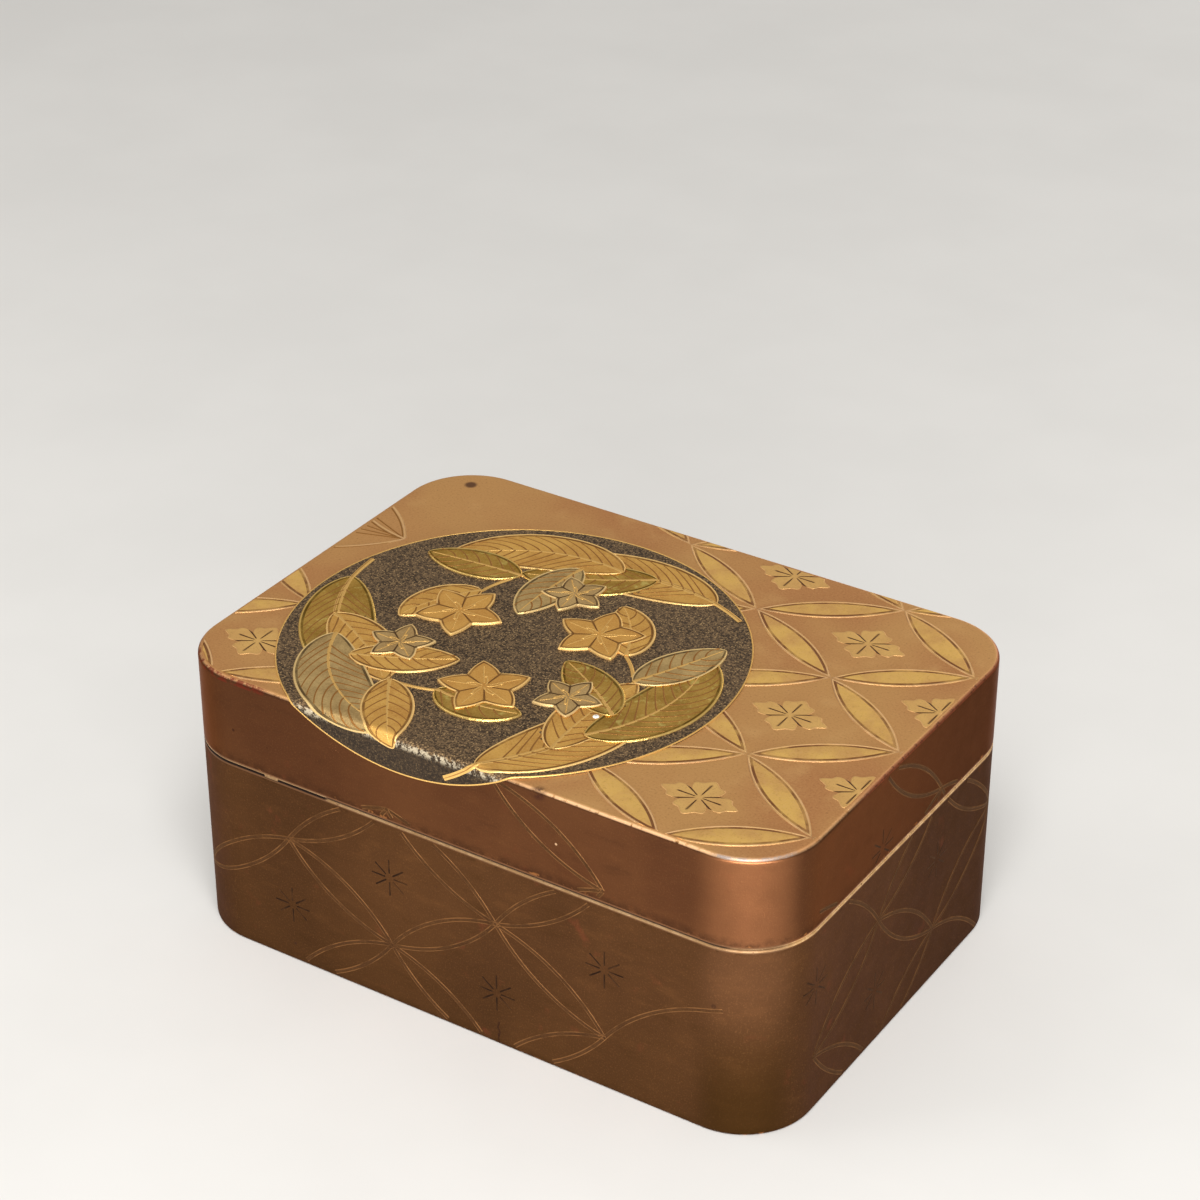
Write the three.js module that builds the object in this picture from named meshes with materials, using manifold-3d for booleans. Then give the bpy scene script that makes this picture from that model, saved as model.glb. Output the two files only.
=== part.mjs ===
// A small lacquered document box: boards and rounded corner blocks glued round a bottom board, an inner
// riser that guides the lift-off lid, a thin metal band on each rim, and a raised roundel on the lid.
// Millimetres, +Z up. The origin is on the table, under the middle of the box. X runs along the box.

import * as THREE from "three";
import { mergeVertices } from "three/addons/utils/BufferGeometryUtils.js";
import Module from "manifold-3d";

const wasm = await Module();
wasm.setup();

// Driving sizes of the box
const BOX_LENGTH = 152;
const BOX_WIDTH = 107;
const BODY_HEIGHT = 68.5;
const SEAM_HEIGHT = 46.8;
const CORNER_RADIUS = 16.6;
const BASE_WALL = 3.6;
const TOP_BOARD = 4;
const TOP_EDGE_ROUND = 1.4;
const BOTTOM_BOARD = 3.6;
const BOTTOM_RECESS = 1;
const BOTTOM_REBATE = 1.2;
const RISER_THICKNESS = 1.8;
const RISER_STANDS = 6;
const LID_CLEARANCE = 0.3;
const RIM_BAND = 0.8;

// Driving sizes of the tongues that join the boards to the corner blocks
const TONGUE_LENGTH = 2.5;
const TONGUE_THICKNESS = 1.2;
const TONGUE_SHOULDER = 3;

// Driving sizes of the roundel
const ROUNDEL_RADIUS = 51.4;
const ROUNDEL_X = -15.2;
const ROUNDEL_Y = -9.6;
const ROUNDEL_GROUND = 0.3;
const STEM_RELIEF = 0.4;
const LEAF_RELIEF = 0.55;
const FLOWER_RELIEF = 0.7;

// Sizes of the sprays follow from the roundel's
const STEM_WIDTH = 0.0214 * ROUNDEL_RADIUS;
const BLOSSOM_RADIUS = 0.2023 * ROUNDEL_RADIUS;
const SIDE_BLOSSOM_RADIUS = 0.152 * ROUNDEL_RADIUS;
const SIDE_BLOSSOM_STALK = 0.245 * ROUNDEL_RADIUS;

// Each spray's stem winds in from the rim of the roundel: shares of its radius, and turns in degrees
const STEM_OUTER_SHARE = 0.93;
const STEM_INNER_SHARE = 0.36;
const STEM_SWEEP = 112;
const STEM_TAIL = 0.07;
const SPRAY_TURNS = [52, 172, 292];

// A spray's leaves: place along the stem, side of it, angle from it and bend along the leaf. A leaf's
// length is a share of the roundel's radius, and its width is a share of its length.
const SPRAY_LEAVES = [
  { place: 0.02, side: 1, angle: -7, length: 0.914, width: 0.362, bend: 40 },
  { place: 0.2, side: -1, angle: 34, length: 0.603, width: 0.435, bend: -22 },
  { place: 0.3, side: 1, angle: 27, length: 0.837, width: 0.372, bend: 66 },
  { place: 0.42, side: -1, angle: 48, length: 0.467, width: 0.479, bend: 14 },
  { place: 0.62, side: 1, angle: 56, length: 0.467, width: 0.479, bend: 6 },
  { place: 0.8, side: 1, angle: 34, length: 0.409, width: 0.524, bend: 30 },
];
const SIDE_BLOSSOM_PLACE = 0.36;
const SIDE_BLOSSOM_ANGLE = 70;

// A leaf's width grows from its foot and shrinks to its tip by these powers of the way along it
const LEAF_FOOT_POWER = 0.62;
const LEAF_TIP_POWER = 0.72;

// A blossom's hollows reach this share of its radius, and its petals narrow by this power
const HOLLOW_SHARE = 0.6;
const PETAL_POWER = 1.3;

// Steps of the curves, where a corner is a quarter turn
const CORNER_STEPS = 16;
const EDGE_STEPS = 4;
const ROUNDEL_STEPS = 72;
const STEM_STEPS = 14;
const LEAF_STEPS = 9;
const PETAL_STEPS = 4;
const PETALS = 5;

// An extrusion gives an arc twice as many steps as its curve segments
const ARC_SEGMENTS = CORNER_STEPS / 2;

// Heights that follow from the driving sizes
const FLOOR_TOP = BOTTOM_RECESS + BOTTOM_BOARD;
const BASE_WALL_TOP = SEAM_HEIGHT - RIM_BAND;
const RISER_TOP = SEAM_HEIGHT + RISER_STANDS;
const LID_WALL_FOOT = SEAM_HEIGHT + RIM_BAND;
const LID_WALL_TOP = BODY_HEIGHT - TOP_BOARD;
const GROUND_TOP = BODY_HEIGHT + ROUNDEL_GROUND;

// The lid's wall is thinner than the base's by the play round the riser, so that the outsides line up
const LID_WALL = BASE_WALL - LID_CLEARANCE;

// Finishes
const GOLD_LACQUER = { color: 0xa87440, roughness: 0.42, metalness: 0.55 };
const INNER_LACQUER = { color: 0x2a1a12, roughness: 0.35, metalness: 0.1 };
const RIM_METAL = { color: 0xd2b07a, roughness: 0.35, metalness: 0.9 };
const DARK_GROUND = { color: 0x352d26, roughness: 0.55, metalness: 0.2 };
const RAISED_GOLD = { color: 0xb98a42, roughness: 0.4, metalness: 0.65 };

const box = new THREE.Group();

// Helpers

function radians(degrees) {
  return THREE.MathUtils.degToRad(degrees);
}

// A closed geometry as a solid that can be joined and cut.
function solidOf(geometry) {
  geometry.deleteAttribute("normal");
  geometry.deleteAttribute("uv");
  const merged = mergeVertices(geometry, 1e-5);
  return new wasm.Manifold(
    new wasm.Mesh({
      numProp: 3,
      vertProperties: merged.attributes.position.array,
      triVerts: new Uint32Array(merged.index.array),
    }),
  );
}

function geometryOf(solid) {
  const made = solid.getMesh();
  const geometry = new THREE.BufferGeometry();
  geometry.setAttribute("position", new THREE.BufferAttribute(made.vertProperties, 3));
  geometry.setIndex(new THREE.BufferAttribute(made.triVerts, 1));
  geometry.computeVertexNormals();
  return geometry;
}

// A flat outline made into a solid between two heights.
function slab(shape, low, high) {
  const settings = { depth: high - low, bevelEnabled: false, curveSegments: ARC_SEGMENTS };
  return solidOf(new THREE.ExtrudeGeometry(shape, settings).translate(0, 0, low));
}

function block(xLow, xHigh, yLow, yHigh, zLow, zHigh) {
  const geometry = new THREE.BoxGeometry(xHigh - xLow, yHigh - yLow, zHigh - zLow);
  return solidOf(geometry.translate((xLow + xHigh) / 2, (yLow + yHigh) / 2, (zLow + zHigh) / 2));
}

function joined(solids) {
  return solids.reduce((whole, piece) => whole.add(piece));
}

function without(solid, cutters) {
  return cutters.reduce((left, cutter) => left.subtract(cutter), solid);
}

function add(name, solid, finish) {
  const mesh = new THREE.Mesh(geometryOf(solid), new THREE.MeshStandardMaterial(finish));
  mesh.name = name;
  box.add(mesh);
}

// Outlines seen from above

// The box's rounded rectangle, drawn in from its outside by the inset.
function boxOutline(inset, Outline = THREE.Shape) {
  const radius = CORNER_RADIUS - inset;
  const x = BOX_LENGTH / 2 - CORNER_RADIUS;
  const y = BOX_WIDTH / 2 - CORNER_RADIUS;
  const outline = new Outline();
  outline.absarc(x, y, radius, 0, Math.PI / 2);
  outline.absarc(-x, y, radius, Math.PI / 2, Math.PI);
  outline.absarc(-x, -y, radius, Math.PI, 1.5 * Math.PI);
  outline.absarc(x, -y, radius, 1.5 * Math.PI, 2 * Math.PI);
  outline.closePath();
  return outline;
}

// The band between two insets, all the way round.
function ringOutline(outerInset, innerInset) {
  const outline = boxOutline(outerInset);
  outline.holes.push(boxOutline(innerInset, THREE.Path));
  return outline;
}

// The band between two insets round one corner.
function cornerOutline(corner, outerInset, innerInset) {
  const x = corner.x * (BOX_LENGTH / 2 - CORNER_RADIUS);
  const y = corner.y * (BOX_WIDTH / 2 - CORNER_RADIUS);
  const end = corner.start + Math.PI / 2;
  const outline = new THREE.Shape();
  outline.absarc(x, y, CORNER_RADIUS - outerInset, corner.start, end);
  outline.absarc(x, y, CORNER_RADIUS - innerInset, end, corner.start, true);
  outline.closePath();
  return outline;
}

const CORNERS = [
  { name: "back_right", x: 1, y: 1, start: 0 },
  { name: "back_left", x: -1, y: 1, start: Math.PI / 2 },
  { name: "front_left", x: -1, y: -1, start: Math.PI },
  { name: "front_right", x: 1, y: -1, start: 1.5 * Math.PI },
];

const SIDES = [
  { name: "front", across: "y", sign: -1 },
  { name: "back", across: "y", sign: 1 },
  { name: "left", across: "x", sign: -1 },
  { name: "right", across: "x", sign: 1 },
];

// A straight stretch of wall on one side, between two insets, reaching past both of its ends.
function straight(side, outerInset, innerInset, low, high, reach = 0) {
  const run = (side.across === "y" ? BOX_LENGTH : BOX_WIDTH) / 2 - CORNER_RADIUS + reach;
  const half = (side.across === "y" ? BOX_WIDTH : BOX_LENGTH) / 2;
  const faces = [side.sign * (half - outerInset), side.sign * (half - innerInset)];
  const near = Math.min(...faces);
  const far = Math.max(...faces);
  return side.across === "y"
    ? block(-run, run, near, far, low, high)
    : block(near, far, -run, run, low, high);
}

// The walls of the base and of the lid: four boards whose tongues sit in four rounded corner blocks

// The tongues run in the middle of the wall, short of its top and foot by a shoulder.
function tongues(side, wall, low, high) {
  const margin = (wall - TONGUE_THICKNESS) / 2;
  const foot = low + TONGUE_SHOULDER;
  const top = high - TONGUE_SHOULDER;
  return straight(side, margin, wall - margin, foot, top, TONGUE_LENGTH);
}

function addWalls(prefix, wall, low, high, cutters, tongueLow) {
  const allTongues = SIDES.map((side) => tongues(side, wall, tongueLow, high));
  SIDES.forEach((side, i) => {
    const board = straight(side, 0, wall, low, high).add(allTongues[i]);
    add(`${prefix}_${side.name}_board`, without(board, cutters), GOLD_LACQUER);
  });
  for (const corner of CORNERS) {
    const piece = slab(cornerOutline(corner, 0, wall), low, high);
    add(`${prefix}_corner_block_${corner.name}`, without(piece, [...allTongues, ...cutters]), GOLD_LACQUER);
  }
}

// The base

function addBottomBoard() {
  const edge = BASE_WALL - BOTTOM_REBATE;
  add("base_bottom_board", slab(boxOutline(edge), BOTTOM_RECESS, FLOOR_TOP), GOLD_LACQUER);
}

// The rebate round the foot of the walls, open below, that the bottom board is glued into.
function bottomRebate() {
  return slab(boxOutline(BASE_WALL - BOTTOM_REBATE), -1, FLOOR_TOP);
}

function addBase() {
  addBottomBoard();
  addWalls("base", BASE_WALL, 0, BASE_WALL_TOP, [bottomRebate()], FLOOR_TOP);
  add("base_rim_band", slab(ringOutline(0, BASE_WALL), BASE_WALL_TOP, SEAM_HEIGHT), RIM_METAL);
}

// The riser lines the base from the bottom board up, and stands above the seam inside the lid.
function addRiser() {
  const inner = BASE_WALL + RISER_THICKNESS;
  for (const side of SIDES) {
    add(`riser_${side.name}`, straight(side, BASE_WALL, inner, FLOOR_TOP, RISER_TOP), INNER_LACQUER);
  }
  for (const corner of CORNERS) {
    const piece = slab(cornerOutline(corner, BASE_WALL, inner), FLOOR_TOP, RISER_TOP);
    add(`riser_corner_${corner.name}`, piece, INNER_LACQUER);
  }
}

// The lid

// The top board covers the walls. Its upper edge is rounded: a slab rounded on both edges, cut square below.
function addTopBoard() {
  const rounded = new THREE.ExtrudeGeometry(boxOutline(TOP_EDGE_ROUND), {
    depth: TOP_BOARD,
    bevelEnabled: true,
    bevelThickness: TOP_EDGE_ROUND,
    bevelSize: TOP_EDGE_ROUND,
    bevelSegments: EDGE_STEPS,
    curveSegments: ARC_SEGMENTS,
  });
  const slabOfBoard = solidOf(rounded.translate(0, 0, LID_WALL_TOP - TOP_EDGE_ROUND));
  const below = block(-BOX_LENGTH, BOX_LENGTH, -BOX_WIDTH, BOX_WIDTH, 0, LID_WALL_TOP);
  add("lid_top_board", slabOfBoard.subtract(below), GOLD_LACQUER);
}

function addLid() {
  addTopBoard();
  addWalls("lid", LID_WALL, LID_WALL_FOOT, LID_WALL_TOP, [], LID_WALL_FOOT);
  add("lid_rim_band", slab(ringOutline(0, LID_WALL), SEAM_HEIGHT, LID_WALL_FOOT), RIM_METAL);
}

// The roundel on the lid

// A point of a spray's stem: it winds inwards as its place goes from 0 at the rim to 1 at the blossom.
function stemPoint(turn, place) {
  const share = STEM_OUTER_SHARE + (STEM_INNER_SHARE - STEM_OUTER_SHARE) * place;
  const angle = radians(turn + STEM_SWEEP * place);
  const reach = ROUNDEL_RADIUS * share;
  return new THREE.Vector2(ROUNDEL_X + reach * Math.cos(angle), ROUNDEL_Y + reach * Math.sin(angle));
}

function stemHeading(turn, place) {
  const step = 0.001;
  return stemPoint(turn, place + step).sub(stemPoint(turn, place - step)).angle();
}

function onward(point, heading, distance) {
  return new THREE.Vector2(point.x + distance * Math.cos(heading), point.y + distance * Math.sin(heading));
}

// A band of one width along a row of points, each with its heading.
function bandOutline(points, headings, width) {
  const left = points.map((point, i) => onward(point, headings[i] + Math.PI / 2, width / 2));
  const right = points.map((point, i) => onward(point, headings[i] - Math.PI / 2, width / 2));
  return new THREE.Shape([...left, ...right.reverse()]);
}

function stem(turn) {
  const places = Array.from({ length: STEM_STEPS + 1 }, (_, i) => i / STEM_STEPS);
  const along = places.map((share) => -STEM_TAIL + (1 + STEM_TAIL) * share);
  const points = along.map((place) => stemPoint(turn, place));
  const headings = along.map((place) => stemHeading(turn, place));
  return slab(bandOutline(points, headings, STEM_WIDTH), GROUND_TOP, GROUND_TOP + STEM_RELIEF);
}

// How full a leaf is at a share of the way along it: 1 where it is widest, 0 at its foot and its tip.
function fullness(along) {
  const shape = (share) => Math.pow(share, LEAF_FOOT_POWER) * Math.pow(1 - share, LEAF_TIP_POWER);
  const widest = LEAF_FOOT_POWER / (LEAF_FOOT_POWER + LEAF_TIP_POWER);
  return shape(along) / shape(widest);
}

// A leaf is blunt at its foot and pointed at its tip. Its midrib is an arc that turns by its bend.
function leafOutline(base, heading, leaf) {
  const length = leaf.length * ROUNDEL_RADIUS;
  const width = leaf.width * length;
  const bend = radians(leaf.bend);
  const left = [];
  const right = [];
  for (let i = 0; i <= LEAF_STEPS; i++) {
    const along = (1 - Math.cos((Math.PI * i) / LEAF_STEPS)) / 2;
    const chord = (2 * length * Math.sin((bend * along) / 2)) / bend;
    const middle = onward(base, heading + (bend * along) / 2, chord);
    const half = (width / 2) * fullness(Math.min(along, 1));
    const across = heading + bend * along + Math.PI / 2;
    left.push(onward(middle, across, half));
    if (i > 0 && i < LEAF_STEPS) right.unshift(onward(middle, across, -half));
  }
  return new THREE.Shape([...left, ...right]);
}

function leafOf(turn, leaf) {
  const base = stemPoint(turn, leaf.place);
  const heading = stemHeading(turn, leaf.place) - leaf.side * radians(leaf.angle);
  return slab(leafOutline(base, heading, leaf), GROUND_TOP, GROUND_TOP + LEAF_RELIEF);
}

// A bellflower seen from the front: five petals that come to points, with deep hollows between them.
function blossom(centre, radius, turn) {
  const steps = PETALS * PETAL_STEPS;
  const points = Array.from({ length: steps }, (_, i) => {
    const fromTip = 1 - Math.abs((((2 * i) / PETAL_STEPS) % 2) - 1);
    const reach = radius * (HOLLOW_SHARE + (1 - HOLLOW_SHARE) * Math.pow(1 - fromTip, PETAL_POWER));
    return onward(centre, turn + (2 * Math.PI * i) / steps, reach);
  });
  return slab(new THREE.Shape(points), GROUND_TOP, GROUND_TOP + FLOWER_RELIEF);
}

function sideBlossom(turn) {
  const foot = stemPoint(turn, SIDE_BLOSSOM_PLACE);
  const heading = stemHeading(turn, SIDE_BLOSSOM_PLACE) + radians(SIDE_BLOSSOM_ANGLE);
  const centre = onward(foot, heading, SIDE_BLOSSOM_STALK);
  const stalk = bandOutline([foot, centre], [heading, heading], STEM_WIDTH);
  return slab(stalk, GROUND_TOP, GROUND_TOP + STEM_RELIEF).add(blossom(centre, SIDE_BLOSSOM_RADIUS, heading));
}

// The dark ground and the three sprays stop where the lid's top begins to round off.
function addRoundel() {
  const flatTop = slab(boxOutline(TOP_EDGE_ROUND), BODY_HEIGHT, BODY_HEIGHT + 2 * FLOWER_RELIEF);
  const disc = new THREE.CylinderGeometry(ROUNDEL_RADIUS, ROUNDEL_RADIUS, ROUNDEL_GROUND, ROUNDEL_STEPS);
  disc.rotateX(Math.PI / 2);
  disc.translate(ROUNDEL_X, ROUNDEL_Y, BODY_HEIGHT + ROUNDEL_GROUND / 2);
  add("roundel_ground", solidOf(disc).intersect(flatTop), DARK_GROUND);
  SPRAY_TURNS.forEach((turn, i) => {
    const leaves = SPRAY_LEAVES.map((leaf) => leafOf(turn, leaf));
    const endBlossom = blossom(stemPoint(turn, 1), BLOSSOM_RADIUS, stemHeading(turn, 1));
    const spray = joined([stem(turn), ...leaves, endBlossom, sideBlossom(turn)]);
    add(`roundel_spray_${i + 1}`, spray.intersect(flatTop), RAISED_GOLD);
  });
}

addBase();
addRiser();
addLid();
addRoundel();

export default box;
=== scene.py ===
"""Dresses the document box: gold lacquer, rim bands, circle pattern, raised roundel and studio.

Lengths are millimetres until a mesh is made, and colours are screen colours from 0 to 255 until
a shader takes them. A raised shape is drawn flat in a chart, which is the top of the lid carried
on over its front edge, or the upright walls unrolled. The chart then lifts each point to its
place on the box.
"""
import logging
import math
from dataclasses import dataclass, replace
from enum import Enum
from typing import Optional, Union

import bpy
import numpy as np
from mathutils import Matrix, Vector


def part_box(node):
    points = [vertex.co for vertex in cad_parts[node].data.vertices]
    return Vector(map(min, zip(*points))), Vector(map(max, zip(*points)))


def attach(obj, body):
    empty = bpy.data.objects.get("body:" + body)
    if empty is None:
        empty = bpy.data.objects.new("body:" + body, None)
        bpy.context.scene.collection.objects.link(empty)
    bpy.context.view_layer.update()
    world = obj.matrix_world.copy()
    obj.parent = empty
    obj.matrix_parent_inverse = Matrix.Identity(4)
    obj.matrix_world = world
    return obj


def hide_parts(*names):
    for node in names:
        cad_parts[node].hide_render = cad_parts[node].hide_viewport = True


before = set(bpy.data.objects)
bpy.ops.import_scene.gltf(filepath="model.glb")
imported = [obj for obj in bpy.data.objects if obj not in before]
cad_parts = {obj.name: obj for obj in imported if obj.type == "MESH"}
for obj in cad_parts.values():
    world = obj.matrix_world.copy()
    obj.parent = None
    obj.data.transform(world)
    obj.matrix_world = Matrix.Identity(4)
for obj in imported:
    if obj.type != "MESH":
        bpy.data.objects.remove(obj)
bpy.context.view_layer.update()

MM = 0.001
QUARTER_TURN = math.pi / 2
FULL_TURN = 2 * math.pi

Tone = tuple[int, int, int]
Array = np.ndarray
Material = bpy.types.Material
Place = tuple[float, float, float]
FlatPlace = tuple[float, float]

log = logging.getLogger("document_box")


# Shader arithmetic


class Shade:
    """A shader output that takes part in Python arithmetic."""

    def __init__(self, paint: "Paint", socket: Optional[bpy.types.NodeSocket]) -> None:
        """Keeps the paint that makes new nodes, and the output that is wrapped."""
        self.paint = paint
        self.socket = socket

    def maths(self, operation: str, *values: "Value") -> "Shade":
        """Adds one Math node with this operation on the values."""
        settings = {"operation": operation}
        return self.paint.node("ShaderNodeMath", settings, dict(enumerate(values)))

    def __add__(self, other: "Value") -> "Shade":
        """Adds a number or a shade."""
        return self.maths("ADD", self, other)

    def __sub__(self, other: "Value") -> "Shade":
        """Takes a number or a shade away."""
        return self.maths("SUBTRACT", self, other)

    def __rsub__(self, other: "Value") -> "Shade":
        """Takes this shade away from a number."""
        return self.maths("SUBTRACT", other, self)

    def __mul__(self, other: "Value") -> "Shade":
        """Multiplies by a number or a shade."""
        return self.maths("MULTIPLY", self, other)

    __radd__ = __add__
    __rmul__ = __mul__

    def most(self, other: "Value") -> "Shade":
        """Keeps the larger of two values."""
        return self.maths("MAXIMUM", self, other)

    def size(self) -> "Shade":
        """Drops the sign."""
        return self.maths("ABSOLUTE", self)

    def rise(self, start: float, end: float) -> "Shade":
        """Goes smoothly from 0 at start to 1 at end, of which either may be the larger."""
        sockets = {
            "Value": self,
            "From Min": min(start, end),
            "From Max": max(start, end),
            "To Min": float(start > end),
            "To Max": float(start < end),
        }
        return self.paint.node("ShaderNodeMapRange", {"interpolation_type": "SMOOTHSTEP"}, sockets)

    def between(self, low: float, high: float, soft: float) -> "Shade":
        """Is 1 between low and high and fades to 0 over soft on both sides."""
        return self.rise(low - soft, low) * self.rise(high + soft, high)


Value = Union[Shade, float]
Colour = Union[Shade, Tone]


class Paint:
    """One material, whose nodes all come from the method `node`."""

    def __init__(self, name: str) -> None:
        """Starts an empty node tree.

        Args:
            name: The name of the material.
        """
        self.material = bpy.data.materials.new(name)
        self.material.use_nodes = True
        self.tree = self.material.node_tree
        self.tree.nodes.clear()
        sockets = {0: self.node("ShaderNodeTexCoord", output="Object"), "Scale": 1 / MM}
        self.place = self.node("ShaderNodeVectorMath", {"operation": "SCALE"}, sockets)

    @staticmethod
    def tone(colour: Tone) -> list[float]:
        """Turns a screen colour into the linear colour that a shader takes, with an alpha of 1."""
        parts = np.array(colour) / 255
        return [*np.where(parts <= 0.04045, parts / 12.92, ((parts + 0.055) / 1.055) ** 2.4), 1.0]

    def node(
        self,
        kind: str,
        settings: Optional[dict] = None,
        sockets: Optional[dict] = None,
        output: Union[int, str] = 0,
    ) -> Shade:
        """Adds one node.

        Args:
            kind: The node's type.
            settings: Its properties, which are set first.
            sockets: A value or a shade for each input, by name or number.
            output: The output to return.

        Returns:
            The chosen output, which is empty where the node has none.
        """
        made = self.tree.nodes.new(kind)
        for name, setting in (settings or {}).items():
            setattr(made, name, setting)
        for name, value in (sockets or {}).items():
            if isinstance(value, Shade):
                self.tree.links.new(value.socket, made.inputs[name])
            else:
                made.inputs[name].default_value = value
        return Shade(self, made.outputs[output] if len(made.outputs) else None)

    def axis(self, letter: str) -> Shade:
        """Gives the place along X, Y or Z in millimetres."""
        return self.node("ShaderNodeSeparateXYZ", sockets={0: self.place}, output=letter)

    def axes(self) -> tuple[Shade, ...]:
        """Gives the place along X, Y and Z."""
        return tuple(self.axis(letter) for letter in "XYZ")

    def stretched(self, factors: Place) -> Shade:
        """Gives the place with each axis multiplied by its factor."""
        sockets = {0: self.place, 1: factors}
        return self.node("ShaderNodeVectorMath", {"operation": "MULTIPLY"}, sockets)

    def cloud(
        self, size: float, detail: float = 3.0, rough: float = 0.55, place: Optional[Shade] = None
    ) -> Shade:
        """Adds noise.

        Args:
            size: The size of its blots in millimetres.
            detail: How many finer layers it has.
            rough: How strong the finer layers are.
            place: Other coordinates than the object's own.

        Returns:
            The noise, from 0 to 1.
        """
        sockets = {"Vector": place or self.place, "Scale": 1 / size}
        sockets.update({"Detail": detail, "Roughness": rough})
        return self.node("ShaderNodeTexNoise", sockets=sockets)

    def flecks(self, size: float, share: float, reach: float) -> Shade:
        """Scatters small round flecks.

        Args:
            size: The pitch of the grains that may become flecks, in millimetres.
            share: The part of the grains that do.
            reach: A fleck's radius as a share of the pitch.

        Returns:
            A mask that is 1 on a fleck.
        """
        sockets = {"Vector": self.place, "Scale": 1 / size}
        away = self.node("ShaderNodeTexVoronoi", sockets=sockets, output="Distance")
        colour = self.node("ShaderNodeTexVoronoi", sockets=sockets, output="Color")
        chosen = self.node("ShaderNodeSeparateColor", sockets={0: colour})
        return chosen.rise(share + 0.02, share) * away.rise(reach, reach * 0.6)

    def near(self, centre: Place, radius: float, soft: float) -> Shade:
        """Marks a ball round a place.

        Args:
            centre: The place in millimetres.
            radius: The ball's radius.
            soft: How far its edge fades outside the radius.

        Returns:
            A mask that is 1 inside the ball.
        """
        sockets = {0: self.place, 1: centre}
        away = self.node("ShaderNodeVectorMath", {"operation": "DISTANCE"}, sockets, "Value")
        return away.rise(radius + soft, radius)

    def carried(self, name: str) -> Shade:
        """Gives a number that the mesh carries at each point."""
        return self.node("ShaderNodeAttribute", {"attribute_name": name}, output="Fac")

    def layered(self, ground: Colour, *layers: tuple[Value, Colour]) -> Shade:
        """Lays colours over a ground, one after another.

        Args:
            ground: The colour underneath.
            *layers: How far each layer covers what is under it, from 0 to 1, and its colour.

        Returns:
            The mixed colour.
        """
        settings = {"data_type": "RGBA", "clamp_factor": True}
        for share, colour in layers:
            pair = (self.tone(part) if isinstance(part, tuple) else part for part in (ground, colour))
            sockets = dict(zip((0, 6, 7), (share, *pair)))
            ground = self.node("ShaderNodeMix", settings, sockets, 2)
        return ground

    def bump(self, height: Shade, depth: float, below: Optional[Shade] = None) -> Shade:
        """Roughens the surface.

        Args:
            height: The height, as a share of the depth.
            depth: What a height of 1 is, in millimetres.
            below: Another bump that lies under this one.

        Returns:
            The normal.
        """
        sockets = {"Height": height, "Distance": depth * MM, "Strength": 1.0}
        if below is not None:
            sockets["Normal"] = below
        return self.node("ShaderNodeBump", sockets=sockets)

    def finish(self, **surface: Union[Value, Colour]) -> Material:
        """Closes the material with one surface shader.

        Args:
            **surface: Values, screen colours and shades by socket, with underscores for spaces.

        Returns:
            The finished material.
        """
        sockets = {}
        for name, value in surface.items():
            sockets[name.replace("_", " ")] = self.tone(value) if isinstance(value, tuple) else value
        shader = self.node("ShaderNodeBsdfPrincipled", sockets=sockets)
        self.node("ShaderNodeOutputMaterial", sockets={"Surface": shader})
        return self.material


# Finishes


@dataclass(frozen=True)
class TopLacquer:
    """Matte pinkish gold powder on the top of the lid, and the tones of its worn edge.

    The bright and bare tones of the edge are partly a painted highlight.
    """

    gold: Tone = (192, 144, 88)
    warm: Tone = (180, 126, 78)
    pale: Tone = (206, 160, 102)
    stain: Tone = (104, 66, 42)
    spot: Tone = (70, 42, 34)
    bright: Tone = (238, 190, 142)
    rubbed_red: Tone = (150, 82, 58)
    bare_red: Tone = (112, 46, 32)
    bare_tin: Tone = (156, 140, 130)

    def colour(self, paint: Paint) -> Shade:
        """Mixes the powder's tones, stains and flecks."""
        powder = paint.cloud(0.5, 2, 0.7)
        return paint.layered(
            self.gold,
            (paint.cloud(38, 2).rise(0.38, 0.64), self.warm),
            (paint.cloud(9, 4).rise(0.5, 0.78) * 0.5, self.pale),
            (powder.rise(0.45, 0.75) * 0.35, self.pale),
            (powder.rise(0.45, 0.25) * 0.35, self.stain),
            (paint.flecks(5.5, 0.07, 0.09) * 0.6, self.stain),
        )


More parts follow.
